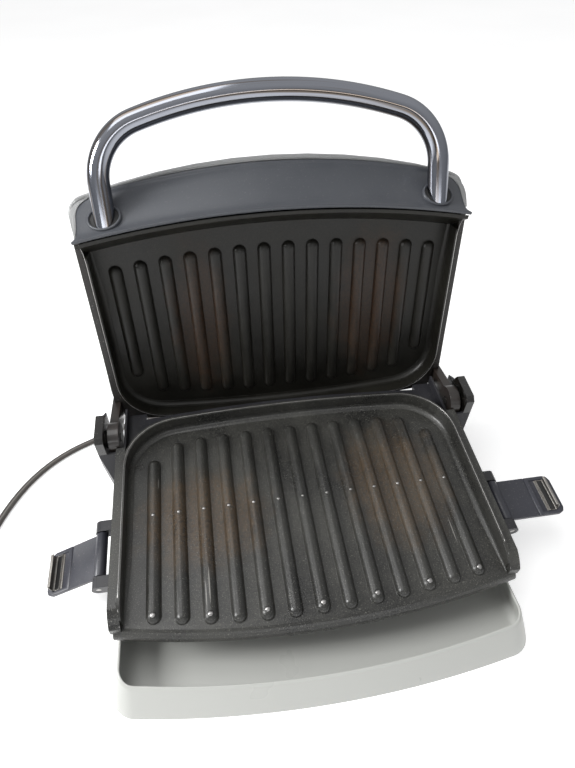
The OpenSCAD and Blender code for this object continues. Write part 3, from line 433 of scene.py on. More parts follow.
class Finishes:
    """Every material of the grill, made once."""

    def __init__(self) -> None:
        """Builds the materials in a fixed order."""
        self.lower = PlateCoat(
            "coating on the lower plate", (0.012, 0.012, 0.0118), (0.045, 0.0445, 0.039),
            (0.088, 0.054, 0.026), tuple(PLATE.translation), PLATE_SLOPE,
            patches=(Patch((-0.082, -0.006, -0.003), (0.062, 0.050, 0.03), 0.55),
                     Patch((0.080, 0.004, -0.003), (0.050, 0.066, 0.03), 0.5)),
            scratches=(Patch((-0.0795, -0.062, 0.0), (0.0006, 0.016, 0.01), 0.7),
                       Patch((-0.0822, -0.068, 0.0), (0.0005, 0.012, 0.01), 0.5),
                       Patch((0.1125, -0.044, -0.003), (0.0005, 0.014, 0.01), 0.6),
                       Patch((-0.116, 0.030, 0.0), (0.0006, 0.006, 0.01), 0.4)),
            speckle=0.55, crest=0.30, roughness=0.31, gloss=0.5).make()
        # The same coating as on the lower plate, with colours about three times darker: painted shade
        # for the upright plate
        self.upper = PlateCoat(
            "coating on the upper plate", (0.0045, 0.0043, 0.0036), (0.0140, 0.0132, 0.0102),
            (0.036, 0.018, 0.009), tuple(LID.translation), PLATE_SLOPE + LID_TURN,
            patches=(Patch((-0.066, 0.075, -0.003), (0.030, 0.080, 0.03), 0.7),
                     Patch((0.082, 0.080, -0.003), (0.036, 0.080, 0.03), 0.7)),
            scratches=(), speckle=0.28, crest=0.2, roughness=0.36, gloss=0.33).make()
        # After its two colours a satin takes its roughness and how metallic it is
        self.bare = Satin("bare worn aluminium", (0.42, 0.41, 0.40), (0.26, 0.255, 0.25), 0.32, 1.0,
                          edge=0.0, speck=0.15).make()
        self.dull = Satin("dull hinge steel", (0.060, 0.056, 0.052), (0.030, 0.028, 0.026), 0.3,
                          0.9).make()
        self.panel = Satin("slate satin panel", (0.060, 0.064, 0.073), (0.048, 0.052, 0.061), 0.40,
                           0.10, grain=2600, depth=0.00003, speck=0.04).make()
        self.slate = Satin("slate moulding", (0.036, 0.037, 0.047), (0.027, 0.028, 0.036), 0.36,
                           speck=0.08).make()
        self.shell = Satin("base shell moulding", (0.024, 0.024, 0.028), (0.016, 0.016, 0.019), 0.36,
                           speck=0.05).make()
        self.inner = Satin("bottom cover moulding", (0.030, 0.030, 0.031), (0.022, 0.022, 0.023),
                           0.55).make()
        self.silver = Satin("silver painted cover", (0.36, 0.365, 0.365), (0.34, 0.345, 0.345), 0.38,
                            0.25, grain=2400, depth=0.00003, edge=0.006).make()
        self.frame = Satin("dark lid frame", (0.018, 0.015, 0.013), (0.010, 0.009, 0.008), 0.48,
                           speck=0.12).make()
        self.arm = Satin("brown baked arm", (0.026, 0.019, 0.015), (0.012, 0.010, 0.009), 0.34,
                         coat=0.3).make()
        self.hinge = Satin("gloss black hinge block", (0.006, 0.005, 0.0045), (0.003, 0.003, 0.0025),
                           0.16, coat=0.5, speck=0.1).make()
        self.steel = Satin("turned steel pin", (0.50, 0.49, 0.47), (0.36, 0.35, 0.34), 0.3, 1.0,
                           edge=0.0003, draw=(1, 1, 6)).make()
        self.zinc = Satin("zinc plated screws", (0.56, 0.56, 0.54), (0.42, 0.42, 0.40), 0.35, 1.0,
                          edge=0.0003).make()
        self.clip = Satin("bent latch clip", (0.36, 0.35, 0.33), (0.22, 0.20, 0.18), 0.33, 1.0,
                          edge=0.0004, speck=0.2).make()
        self.tray = Satin("grey tray moulding", (0.425, 0.431, 0.409), (0.416, 0.422, 0.400), 0.32,
                          grain=1800, depth=0.00003, edge=0.0, mottle=12).make()
        # Used for the feet, and as painted shadow for the dark plates in the clip slots and the rings
        # in the collars
        self.rubber_and_shadow = Satin("black rubber", (0.020, 0.020, 0.020), (0.013, 0.013, 0.013), 0.7,
                            depth=0.0001).make()
        self.plug = Satin("moulded plug", (0.030, 0.028, 0.026), (0.021, 0.020, 0.019), 0.42,
                          edge=0.0).make()
        self.relief = Satin("lead grommet", (0.036, 0.034, 0.032), (0.025, 0.024, 0.023), 0.5).make()
        self.brass = Satin("plug blades", (0.62, 0.46, 0.22), (0.50, 0.36, 0.17), 0.28, 1.0).make()
        self.ceramic = Satin("glazed ceramic", (0.72, 0.69, 0.60), (0.62, 0.58, 0.50), 0.25,
                             coat=0.3).make()
        self.sheath = Satin("heating rod sheath", (0.16, 0.15, 0.145), (0.09, 0.075, 0.068), 0.42,
                            0.9).make()
        self.bright = Satin("aluminised shield", (0.62, 0.62, 0.61), (0.50, 0.50, 0.49), 0.28, 1.0,
                            draw=(0.1, 1, 1)).make()
        self.sleeve = Satin("glass fibre sleeve", (0.55, 0.50, 0.42), (0.42, 0.37, 0.30), 0.7,
                            depth=0.00015).make()
        self.chrome = Chrome("chrome handle", (0.28, 0.293, 0.33), (0.15, 0.125, 0.105)).make()
        # Its last colour is the painted highlight along the waist
        self.cord = TwinSheath("flat twin lead", (0.052, 0.046, 0.041), (0.16, 0.15, 0.14)).make()


# Shapes


def hoop(bm: Mesh, ring: list[bmesh.types.BMVert]) -> list[bmesh.types.BMEdge]:
    """Edges that join the corners of a ring, each to the next."""
    return [bm.edges.get(pair) for pair in zip(ring, ring[1:] + ring[:1])]


def loft(loops: Sequence[Sequence[Point]], capped: bool = True,
         skins: Sequence[Sequence[Point]] | None = None) -> Mesh:
    """Extrudes a ring through rows of places.

    Args:
        loops: the rings, all with the same number of places.
        capped: whether the first and the last ring are closed by a face.
        skins: a stored place for each point, for materials that follow the surface.

    Returns:
        The mesh, its normals outward.
    """
    bm = bmesh.new()
    layer = bm.verts.layers.float_vector.new("skin") if skins else None
    first = list(bmesh.ops.create_circle(bm, segments=len(loops[0]), radius=1)["verts"])
    ring = first
    for row, places in enumerate(loops):
        if row:
            made = bmesh.ops.extrude_edge_only(bm, edges=hoop(bm, ring))["geom"]
            fresh = {v for v in made if isinstance(v, bmesh.types.BMVert)}
            ring = [next(e.other_vert(v) for e in v.link_edges if e.other_vert(v) in fresh)
                    for v in ring]
        for i, (vert, place) in enumerate(zip(ring, places)):
            vert.co = place
            if layer:
                vert[layer] = skins[row][i]
    if capped:
        bmesh.ops.contextual_create(bm, geom=hoop(bm, first))
        bmesh.ops.contextual_create(bm, geom=hoop(bm, ring))
    bmesh.ops.recalc_face_normals(bm, faces=bm.faces)
    return bm


def sheet(across: int, along: int, thick: float, place: Callable[[float, float], Point],
          facing: Point | None = None) -> Mesh:
    """Bends a grid and gives it a wall.

    Args:
        across: faces across.
        along: faces along.
        thick: thickness of the wall.
        place: gives the place for two numbers from -1 to 1.
        facing: direction that the outside faces, where it has to be one.

    Returns:
        The closed mesh.
    """
    bm = bmesh.new()
    bmesh.ops.create_grid(bm, x_segments=across, y_segments=along, size=1)
    for vert in bm.verts:
        vert.co = place(vert.co.x, vert.co.y)
    bmesh.ops.recalc_face_normals(bm, faces=bm.faces)
    if facing and sum(f.normal.dot(facing) for f in bm.faces) < 0:
        bmesh.ops.reverse_faces(bm, faces=bm.faces)
    bmesh.ops.solidify(bm, geom=bm.faces[:], thickness=thick)
    return bm


def round_edges(bm: Mesh, radius: float, angle: float = 28.0) -> None:
    """Rounds the edges that bend by more than an angle.

    Args:
        bm: the mesh.
        radius: the rounding, in the mesh's unit.
        angle: the angle in degrees.
    """
    edges = [e for e in bm.edges if e.is_manifold and e.calc_face_angle(0.0) > math.radians(angle)]
    bmesh.ops.bevel(bm, geom=edges, offset=radius, offset_type="OFFSET", affect="EDGES", segments=2,
                    profile=0.5, material=-1, clamp_overlap=True)


def arc(cx: float, cy: float, r: float, a0: float, a1: float, n: int) -> list[Pair]:
    """Places on an arc from one angle in degrees to another."""
    turns = [math.radians(a0 + (a1 - a0) * i / n) for i in range(n + 1)]
    return [(cx + r * math.cos(a), cy + r * math.sin(a)) for a in turns]


def circle(r: float, count: int) -> list[Pair]:
    """Places evenly round a circle."""
    return arc(0, 0, r, 0, 360, count)[:-1]


def squarer(value: float, power: float) -> float:
    """Draws a sine or cosine out, so that its circle comes nearer to a square."""
    return math.copysign(abs(value) ** power, value)


def end_arc(w: float, reach: float, corner: float, bow: float) -> list[Pair]:
    """Bowed end with two round corners.

    Args:
        w: half width.
        reach: how far out the middle of the end lies.
        corner: radius of the corners.
        bow: radius of the end between them.

    Returns:
        The places from the right side over the end to the left side.
    """
    bc = reach - bow
    cy = bc + math.sqrt((bow - corner) ** 2 - (w - corner) ** 2)
    turn = math.degrees(math.atan2(cy - bc, w - corner))
    return (arc(w - corner, cy, corner, 0, turn, 12)
            + arc(0, bc, bow, turn + 0.3, 180 - turn - 0.3, 18)
            + arc(corner - w, cy, corner, 180 - turn, 180, 12))


def sweep(path: Sequence[Point], section: Callable[[int], list[Pair]], up: Point) -> Mesh:
    """Carries a section along a path.

    Args:
        path: the places, in order.
        section: gives the section's places, sideways and up, for the number of a place on the path.
        up: direction that counts as up.

    Returns:
        The closed mesh, with a stored place of sideways, up and along for each point, in metres.
    """
    points = [Vector(p) for p in path]
    loops, skins, run = [], [], 0.0
    for i, point in enumerate(points):
        ahead = (points[min(i + 1, len(points) - 1)] - points[max(i - 1, 0)]).normalized()
        side = ahead.cross(Vector(up)).normalized()
        lift = side.cross(ahead)
        run += (point - points[i - 1]).length if i else 0.0
        loops.append([tuple(point + side * a + lift * b) for a, b in section(i)])
        skins.append([(a * 0.001, b * 0.001, run * 0.001) for a, b in section(i)])
    return loft(loops, skins=skins)


def through(a: Vector | float, b: Vector | float, c: Vector | float, d: Vector | float,
            t: float) -> Vector | float:
    """What lies a share of the way from b to c, on the smooth curve through all four."""
    return 0.5 * (2 * b + (c - a) * t + (2 * a - 5 * b + 4 * c - d) * t * t
                  + (3 * b - a - 3 * c + d) * t ** 3)


def between(a: Sequence[float], b: Sequence[float], t: float) -> tuple[float, ...]:
    """Place a share of the way from one place to another."""
    return tuple(p + (q - p) * t for p, q in zip(a, b))


def smooth_path(points: Sequence[Point], steps: int) -> list[Point]:
    """Puts extra places on a smooth curve through all the given ones.

    Args:
        points: the given places.
        steps: into how many steps the way from each to the next is cut.

    Returns:
        All the places.
    """
    p = [Vector(q) for q in points]
    p = [2 * p[0] - p[1]] + p + [2 * p[-1] - p[-2]]
    out = [tuple(through(*four, k / steps)) for four in zip(p, p[1:], p[2:], p[3:])
           for k in range(steps)]
    return out + [tuple(p[-2])]


@dataclass
class Assembly:
    """What every sub-assembly can do: name, dress and attach pieces."""

    finishes: Finishes

    def add(self, name: str, bm: Mesh, place: Matrix, finish: Material, body: Body, slot: Slot,
            stands_for: Sequence[str] = (), sharp: float = 40.0) -> Piece:
        """Makes a finished piece of a mesh.

        Args:
            name: name of the piece.
            bm: its mesh, which is used up.
            place: from the mesh's own frame to the row frame in metres.
            finish: its material.
            body: the body it rides on.
            slot: the record's material slot it stands for; not used.
            stands_for: CAD nodes that it replaces.
            sharp: edges that bend by more degrees than this stay hard.

        Returns:
            The new object.
        """
        bm.transform(place)
        bmesh.ops.remove_doubles(bm, verts=bm.verts, dist=1e-7)
        bmesh.ops.recalc_face_normals(bm, faces=bm.faces)
        mesh = bpy.data.meshes.new(name)
        bm.to_mesh(mesh)
        bm.free()
        mesh.shade_smooth()
        mesh.set_sharp_from_angle(angle=math.radians(sharp))
        mesh.materials.append(finish)
        made = bpy.data.objects.new(name, mesh)
        bpy.context.scene.collection.objects.link(made)
        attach(made, body.value)
        if stands_for:
            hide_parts(*stands_for)
        LOG.info("%s: %d faces on %s", name, len(mesh.polygons), body.value)
        return made

    def dress(self, finish: Material, *nodes: str) -> None:
        """Gives CAD nodes a material.

        Args:
            finish: the material.
            nodes: names of the nodes.
        """
        for node in nodes:
            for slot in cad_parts[node].material_slots:
                slot.material = finish
            LOG.info("%s: dressed in %s", node, finish.name)

    def soften(self, node: str, finish: Material, body: Body, slot: Slot, radius: float) -> Piece:
        """Stands a copy with rounded edges in for a CAD node.

        Args:
            node: the CAD node.
            finish: the material.
            body: the body it rides on.
            slot: the record's material slot.
            radius: the rounding in millimetres.

        Returns:
            The new object.
        """
        bm = bmesh.new()
        bm.from_mesh(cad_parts[node].data)
        bmesh.ops.remove_doubles(bm, verts=bm.verts, dist=2e-6)
        bmesh.ops.dissolve_limit(bm, angle_limit=math.radians(0.6), verts=bm.verts, edges=bm.edges)
        round_edges(bm, radius * 0.001)
        return self.add(node + "_rounded", bm, Matrix.Identity(4), finish, body, slot, [node])


# Sub-assemblies


@dataclass
class Studio:
    """Camera, floor and lights, in metres and watts."""

    eye: Point = (-0.0529, -0.2955, 0.4308)
    ahead: Point = (0.110, 0.741, -0.663)
    right: Point = (0.988, -0.152, -0.007)
    lens: float = 26.325
    sensor: float = 36.0
    near: float = 0.01
    lamps: tuple[tuple[str, Point, Pair, float], ...] = (
        ("key light", (-1.25, -0.10, 0.85), (0.40, 0.50), 21.0),
        ("front light", (-0.10, -1.30, 0.58), (1.60, 0.16), 3.2),
        ("top light", (-0.45, 0.05, 1.40), (0.90, 0.80), 6.0),
    )
    lit: Point = (0, 0.02, 0.12)
    floor_half: float = 6.0
    floor_glow: float = 0.40
    horizon: Colour = (0.42, 0.43, 0.45)
    full_sky: float = 0.75
    sky: float = 0.68

    def build(self) -> None:
        """Makes the camera first, then the lights, the floor and the world."""
        self.camera()
        for name, place, size, power in self.lamps:
            self.lamp(name, place, size, power)
        self.floor()
        self.world()
        bpy.context.scene.view_settings.view_transform = "Standard"

    @staticmethod
    def link(name: str, data: bpy.types.ID, place: Matrix) -> Piece:
        """Puts an object into the scene.

        Args:
            name: its name.
            data: its camera, lamp or mesh.
            place: its place and turn.

        Returns:
            The new object.
        """
        made = bpy.data.objects.new(name, data)
        made.matrix_world = place
        bpy.context.scene.collection.objects.link(made)
        return made

    def camera(self) -> None:
        """Sets the camera at the photograph's place."""
        data = bpy.data.cameras.new("camera")
        data.lens, data.sensor_width, data.clip_start = self.lens, self.sensor, self.near
        ahead = Vector(self.ahead).normalized()
        right = Vector(self.right)
        right = (right - ahead * right.dot(ahead)).normalized()
        turn = Matrix((right, right.cross(ahead), -ahead)).transposed().to_4x4()
        bpy.context.scene.camera = self.link("camera", data, Matrix.Translation(self.eye) @ turn)

    def lamp(self, name: str, place: Point, size: Pair, power: float) -> None:
        """Hangs a rectangular lamp that faces the grill.

        Args:
            name: its name.
            place: where it hangs.
            size: its width and height.
            power: its power.
        """
        lamp = bpy.data.lights.new(name, "AREA")
        lamp.shape, lamp.size, lamp.size_y, lamp.energy = "RECTANGLE", *size, power
        ahead = Vector(self.lit) - Vector(place)
        turn = ahead.to_track_quat("-Z", "Y").to_matrix().to_4x4()
        self.link(name, lamp, Matrix.Translation(place) @ turn)

    def floor(self) -> None:
        """Lays a wide pale floor."""
        bm = bmesh.new()
        bmesh.ops.create_grid(bm, x_segments=1, y_segments=1, size=self.floor_half)
        mesh = bpy.data.meshes.new("floor")
        bm.to_mesh(mesh)
        bm.free()
        r = Recipe("pale floor")
        cloud = r.noise(r.place(), 3, 2)
        colour = r.blend(r.span(cloud, 0.3, 0.7), (0.88, 0.88, 0.88), (0.90, 0.90, 0.90))
        r.shader.inputs["Emission Color"].default_value = (1, 1, 1, 1)
        r.constant(Emission_Strength=self.floor_glow)
        rough = r.span(cloud, 0.3, 0.7, 0.75, 0.85)
        mesh.materials.append(r.finish(colour, rough, r.bump(cloud, 0.00001)))
        self.link("floor", mesh, Matrix.Identity(4))

    def world(self) -> None:
        """Gives soft light from all round, dimmer near the horizon."""
        world = bpy.data.worlds.new("studio")
        world.use_nodes = True
        tree = world.node_tree
        back = next(n for n in tree.nodes if n.type == "BACKGROUND")
        way = tree.nodes.new("ShaderNodeTexCoord")
        split = tree.nodes.new("ShaderNodeSeparateXYZ")
        ramp = tree.nodes.new("ShaderNodeValToRGB")
        tree.links.new(way.outputs["Generated"], split.inputs[0])
        tree.links.new(split.outputs[2], ramp.inputs[0])
        low, high = ramp.color_ramp.elements
        low.color, low.position = (*self.horizon, 1), 0.0
        high.color, high.position = (1.0, 1.0, 1.0, 1), self.full_sky
        tree.links.new(ramp.outputs[0], back.inputs[0])
        back.inputs[1].default_value = self.sky
        bpy.context.scene.world = world


@dataclass
class Lead(Assembly):
    """Flat twin lead with its grommet, coil and plug, in millimetres and degrees.

    The coil spirals in by coil_shrink a turn, climbs where it reverses and spirals out again.
    """

    route: tuple[Point, ...] = (
        (-118, 114, 20), (-118, 121, 20), (-119.5, 127.5, 19.2), (-124, 135, 17), (-131.5, 141, 13.5),
        (-141, 144.5, 9.5), (-151.5, 145, 6), (-162, 143, 3.4), (-172.5, 139, 2.2), (-182.5, 134, 1.9),
        (-193, 128.5, 1.9), (-204, 123, 1.9), (-215, 116.5, 1.9), (-228, 106.5, 1.9), (-240, 94, 1.9),
        (-251, 78.5, 1.9), (-260, 61, 1.9), (-267, 42.5, 1.9), (-271.5, 27, 1.9), (-273, 17, 1.9),
        (-273, 10, 1.9))
    wide: float = 6.6
    thick: float = 3.6
    waist: float = 0.30
    waist_half: float = 0.22
    run_in: float = 7.0
    coil_radius: float = 42.0
    coil_shrink: float = 7.4
    coil_turn: float = 900.0
    coil_step: float = 15.0
    coil_lift: float = 4.2
    climb: float = 180.0
    tail: float = 34.0
    # The plug's length so far, half width and half height
    plug_rows: tuple[Point, ...] = (
        (0.1, 4.6, 4.2), (1.5, 5.0, 4.8), (9, 6.0, 5.4), (11, 7.5, 5.7), (15, 9.8, 5.9),
        (19, 10.8, 6.0), (27, 10.9, 6.0), (32, 10.9, 6.0), (33.4, 10.5, 5.6), (33.95, 9.6, 4.8))

    def coil(self) -> list[Point]:
        """Places on the coil and the short tail to the plug.

        Returns:
            The places, in order.
        """
        x, y, z = self.route[-1]
        cx, cy = x - self.coil_radius, y - self.run_in
        out = []
        for i in range(int(self.coil_turn / self.coil_step) + 1):
            a = self.coil_step * i
            r = self.coil_radius - self.coil_shrink * min(a, self.coil_turn - a) / 360
            up = max(0.0, min(1.0, (a - self.coil_turn / 2) / self.climb + 0.5))
            t = math.radians(a)
            lift = self.coil_lift * up * up * (3 - 2 * up)
            out.append((cx + r * math.cos(t), cy - r * math.sin(t), z + lift))
        x, y, z = out[-1]
        return out + [(x, y + self.tail * k / 4, z) for k in range(1, 5)]

    def twin(self, _: int) -> list[Pair]:
        """Section of two cores side by side, drawn in at the waist between them.

        Args:
            _: number of the place on the path, which changes nothing.

        Returns:
            The section's places, sideways and up.
        """
        out = []
        for cos, sin in circle(1, 24):
            x = squarer(cos, 0.8)
            drawn = 1 - self.waist * math.exp(-(x / self.waist_half) ** 2)
            out.append((self.wide / 2 * x, self.thick / 2 * squarer(sin, 0.75) * drawn))
        return out

    def build(self) -> None:
        points = list(self.route) + self.coil()
        bm = sweep(smooth_path(points, 2), self.twin, (0, 0, 1))
        made = self.add("twin_lead", bm, MM, self.finishes.cord, Body.BASE, Slot.CORD,
                        ["power_cord", "cord_coil"], 60)
        path = [tuple(0.001 * c for c in p) for p in points]
        length = sum((Vector(b) - Vector(a)).length for a, b in zip(path, path[1:]))
        self.dress(self.finishes.relief, "strain_relief")
        self.dress(self.finishes.brass, "plug_blades")
        plug = self.plug(points[-1])
        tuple(path[0])
        LOG.info("lead length %.3f m", length)

    def plug(self, at: Point) -> Piece:
        """Makes the moulded plug body.

        Args:
            at: the end of the lead.

        Returns:
            The new object.
        """
        loops = [[(at[0] + w * squarer(x, 0.5), at[1] + y, at[2] + h * squarer(z, 0.6))
                  for x, z in circle(1, 32)] for y, w, h in self.plug_rows]
        return self.add("plug_moulding", loft(loops), MM, self.finishes.plug, Body.BASE, Slot.PLUG,
                        ["plug_body"])


@dataclass
class BaseUnit(Assembly):
    """Housing, bottom cover, feet and what is inside."""

    def build(self) -> None:
        """Dresses the base's own nodes."""
        f = self.finishes
        self.dress(f.shell, "base_housing")
        self.dress(f.inner, "base_cover")
        self.dress(f.rubber_and_shadow, "rubber_feet")
        self.dress(f.zinc, "base_screws", "lower_plate_screws", "bracket_screws")
        self.dress(f.sheath, "lower_element")
        self.dress(f.bright, "lower_reflector")
        self.dress(f.ceramic, "thermostat", "thermal_fuse", "terminal_block")
        self.dress(f.sleeve, "base_wiring")


@dataclass
class PlateTrim(Assembly):
    """Concave inner corner and bare crest line of one grill plate, in its own frame in millimetres.

    The side walls curl away towards the front from the place curl_from, by the radius curl, which
    is negative where they go down.
    """

    name: str
    place: Matrix
    body: Body
    coat: Material
    half: float
    rear: float
    corner: float
    front: float
    curl_from: float
    curl: float
    wall: float = 3.0
    floor: float = -5.0
    top: float = 10.0
    bow: float = 1300.0
    steps: int = 14
    fillet: float = 4.5
    grow: int = 6
    sink: float = 0.3
    line: float = 0.4
    line_sink: float = 0.25

    def crest(self, y: float) -> float:
        """Height of the walls at a place along the plate."""
        along = min(1.0, max(0.0, self.curl_from - y) / abs(self.curl))
        return self.top + self.curl * (1 - math.sqrt(1 - along ** 2))

    def edge(self, inset: float) -> list[Pair]:
        """Line along both sides and the back.

        Args:
            inset: how far it lies in from the casting's outside.

        Returns:
            The places from the right front over the back to the left front.
        """
        back = end_arc(self.half - inset, self.rear - inset, self.corner - inset, self.bow)
        side = [(self.half - inset, self.front + (back[0][1] - self.front) * k / self.steps)
                for k in range(self.steps)]
        return side + back + [(-x, y) for x, y in reversed(side)]

    def corner_strip(self) -> None:
        """Lays a concave strip where the floor meets the walls."""
        r, s = self.fillet, self.sink
        curve = arc(r, r, r, 180, 270, 6)
        path = [(x, y, self.floor) for x, y in self.edge(self.wall)]

        def section(i: int) -> list[Pair]:
            """Concave corner that grows out of the wall at both ends of the path."""
            k = min(1.0, (min(i, len(path) - 1 - i) + 0.6) / self.grow)
            return [(s, -s), (s, k * r)] + [(-k * x, k * y) for x, y in curve] + [(-k * r, -s)]

        self.add(self.name + "_inner_corner", sweep(path, section, (0, 0, 1)), self.place, self.coat,
                 self.body, Slot.COAT, sharp=60)

    def crest_line(self) -> None:
        """Lays a thin bare line along the top of the walls."""
        path = [(x, y, self.crest(y) - self.line_sink) for x, y in self.edge(self.wall / 2)]
        ring = circle(self.line, 8)
        bm = sweep(path, lambda _: ring, (0, 0, 1))
        self.add(self.name + "_bare_crest", bm, self.place, self.finishes.bare, self.body, Slot.COAT,
                 sharp=80)

    def build(self) -> None:
        """Makes the strips."""
        self.corner_strip()
        self.crest_line()


@dataclass
class LowerPlate(Assembly):
    """Lower plate with worn dots on its ribs and bare nubs on its front edge, in millimetres."""

    pitch: float = 20.0
    dot: Pair = (1.0, -0.15)
    dot_radius: float = 1.35
    nub: Pair = (-86.4, 0.45)
    nub_bow: float = 0.96
    nub_radius: float = 2.0
    dome: float = 0.45

    def build(self) -> None:
        """Dresses the plate and adds its trim."""
        f = self.finishes
        self.dress(f.lower, "lower_plate")
        PlateTrim(f, "lower_plate", PLATE, Body.BASE, f.lower, half=144, rear=93, corner=46,
                  front=-83, curl_from=-62, curl=-27.6).build()
        for i in range(-6, 7):
            self.bead(f"wear_dot_{i + 7}", (self.pitch * i, *self.dot), self.dot_radius)
        y, z = self.nub
        for i in range(-3, 4):
            self.bead(f"nub_{i + 4}", (2 * self.pitch * i, y + self.nub_bow * i * i, z),
                      self.nub_radius)

    def bead(self, name: str, at: Point, radius: float) -> None:
        """Sets a low bare dome on a rib.

        Args:
            name: name of the piece.
            at: its middle in the plate's frame.
            radius: its radius.
        """
        bm = bmesh.new()
        bmesh.ops.create_uvsphere(bm, u_segments=16, v_segments=8, radius=radius)
        bmesh.ops.scale(bm, vec=(1, 1, self.dome), verts=bm.verts)
        self.add(name, bm, moved(PLATE, at), self.finishes.bare, Body.BASE, Slot.COAT, sharp=80)


@dataclass
class DripTray(Assembly):
    """Loose drip tray under the pouring edge, in millimetres.

    Its walls lean in as they rise: over a rise of full_rise, the sides by side_lean and the front
    by front_lean, while the front corners' radius shrinks by corner_lean.
    """

    half: float = 155.0
    front: float = 155.3
    back: float = -57.3
    corner: float = 19.0
    back_corner: float = 12.0
    front_bow: float = 840.0
    back_bow: float = 4000.0
    full_rise: float = 22.0
    mid_rise: float = 20.0
    side_lean: float = 6.0
    front_lean: float = 11.0
    corner_lean: float = 5.0
    wall: float = 2.2
    sole: float = 1.0
    fillet: float = 8.0
    lip: float = 1.1
    lip_depth: float = 1.3
    rim_top: float = 26.0
    rim_low: float = 22.4
    rim_slope: float = 0.1763
    rim_from: float = -144.0

    def rim(self, y: float) -> float:
        """Height of the rim, which drops towards the front."""
        return min(self.rim_top, self.rim_low + self.rim_slope * (y - self.rim_from))

    def outline(self, z: float, d: float) -> list[Pair]:
        """Outline at one height.

        Args:
            z: the height.
            d: how far it is moved in.

        Returns:
            The places, counterclockwise.
        """
        lean = max(0.0, z - self.sole) / self.full_rise
        w = self.half - d - self.side_lean * lean
        fore = end_arc(w, self.front - d - self.front_lean * lean ** 1.2,
                       self.corner - self.corner_lean * lean - 0.8 * d, self.front_bow)
        rear = end_arc(w, self.back - d, self.back_corner - d, self.back_bow)
        return [(x, -y) for x, y in reversed(fore)] + rear

    def loop(self, base: float, share: float, inset: float) -> list[Point]:
        """Ring round the tray's wall.

        Args:
            base: its height where the rim's height doesn't count.
            share: share of the rim's height that is added to it.
            inset: how far it lies in from the outside.

        Returns:
            The ring's places.
        """
        ring = []
        for i, (_, y) in enumerate(self.outline(self.mid_rise, inset)):
            z = base + share * self.rim(y)
            ring.append((*self.outline(z, inset)[i], z))
        return ring

    def build(self) -> None:
        """Makes the tray as one closed skin, from its underside over the rim to its floor."""
        low, lip, top = self.sole, self.lip, self.wall + self.fillet
        rows = [(0.05, 0, 1.2), (0.35, 0, 0.4), (low, 0, 0.0)]
        rows += [(low * (1 - s), s, 0.0) for s in (0.2, 0.4, 0.6, 0.8, 0.95)]
        rows += [(z - lip, 1, lip - x) for x, z in arc(0, 0, lip, 0, 176, 8)]
        rows += [(top - (top + self.lip_depth) * s, s, self.wall) for s in (0.45, 0.2, 0.0)]
        rows += [(top - self.fillet * math.sin(a), 0, top - self.fillet * math.cos(a))
                 for a in (math.radians(k) for k in (12, 25, 38, 52, 65, 78, 90))]
        rows += [(self.wall, 0, top + 1.5)]
        self.add("tray_moulding", loft([self.loop(*row) for row in rows]), MM, self.finishes.tray,
                 Body.TRAY, Slot.TRAY, ["drip_tray"], 50)


@dataclass
class Hinges(Assembly):
    """Hinge blocks, lid arms, pins and screws."""

    def build(self) -> None:
        """Dresses the hinges."""
        f = self.finishes
        self.dress(f.hinge, "left_hinge_bracket", "right_hinge_bracket")
        self.dress(f.arm, "left_lid_arm", "right_lid_arm")
        self.dress(f.dull, "left_hinge_pin", "right_hinge_pin")
        self.dress(f.steel, "left_latch_pin", "right_latch_pin")
        self.dress(f.zinc, "arm_screws")


@dataclass
class Latches(Assembly):
    """Side latches with their spring clips, in millimetres and degrees.

    The pin's place is the right one's in the plate's frame. The clip's profile runs out along the
    flap from clip_at, and up. A dark plate behind the blade is painted shadow in the slot.
    """

    droop: float = 28.0
    pin_at: Point = (160, -24.5, -7)
    rounding: float = 0.5
    clip_at: float = 41.0
    clip_half: float = 14.0
    clip_thick: float = 0.7
    clip_taper: float = 0.16
    profile: tuple[Pair, ...] = (
        (-5.0, 1.0), (-3.4, 1.0), (-3.0, 1.9), (-2.6, 1.0), (1.2, 1.0), (2.2, 1.3), (2.7, 2.2),
        (2.8, 4.5), (2.7, 6.6), (2.2, 7.4), (1.4, 7.5), (0.5, 7.2))
    # Size and place of the dark plate that is painted shadow in the slot
    shadow_plate_size: Point = (4.2, 26.5, 0.5)
    shadow_plate_at: Pair = (-0.2, 1.2)

    def build(self) -> None:
        """Rounds the flaps and bends their clips."""
        for side, body, droop, way in (("left", Body.LEFT_LATCH, self.droop, -1),
                                       ("right", Body.RIGHT_LATCH, 0.0, 1)):
            self.soften(side + "_latch", self.finishes.slate, body, Slot.LATCH, self.rounding)
            place = moved(PLATE @ Matrix.Scale(way, 4, (1, 0, 0)), self.pin_at)
            self.clip(side, body, place @ Matrix.Rotation(math.radians(droop), 4, "Y"))

    def bent(self, along: float, across: float) -> Point:
        """Place on the clip's sheet.

        Args:
            along: how far along the profile, from -1 to 1.
            across: how far across, from -1 to 1.

        Returns:
            The place in the flap's own frame.
        """
        at = (along + 1) / 2 * (len(self.profile) - 1)
        k = min(int(at), len(self.profile) - 2)
        x, z = between(self.profile[k], self.profile[k + 1], at - k)
        return (self.clip_at + x, across * (self.clip_half - self.clip_taper * max(0.0, z - 1.5)), z)

    def clip(self, side: str, body: Body, place: Matrix) -> None:
        """Makes the bent blade and the dark plate behind it, painted shadow in the slot.

        Args:
            side: left or right.
            body: the latch's body.
            place: from the flap's own frame in millimetres to the row frame.
        """
        blade = sheet(4 * (len(self.profile) - 1), 8, self.clip_thick, self.bent)
        self.add(side + "_clip_blade", blade, place, self.finishes.clip, body, Slot.CLIP,
                 [side + "_latch_clip"], 60)
        # Painted shadow: a dark plate in the slot behind the blade, where there is only shade
        bm = bmesh.new()
        bmesh.ops.create_cube(bm, size=1)
        bmesh.ops.scale(bm, vec=self.shadow_plate_size, verts=bm.verts)
        x, z = self.shadow_plate_at
        bmesh.ops.translate(bm, vec=(self.clip_at + x, 0, z), verts=bm.verts)
        round_edges(bm, 0.15)
        self.add(side + "_clip_shadow_plate", bm, place, self.finishes.rubber_and_shadow, body, Slot.CLIP)


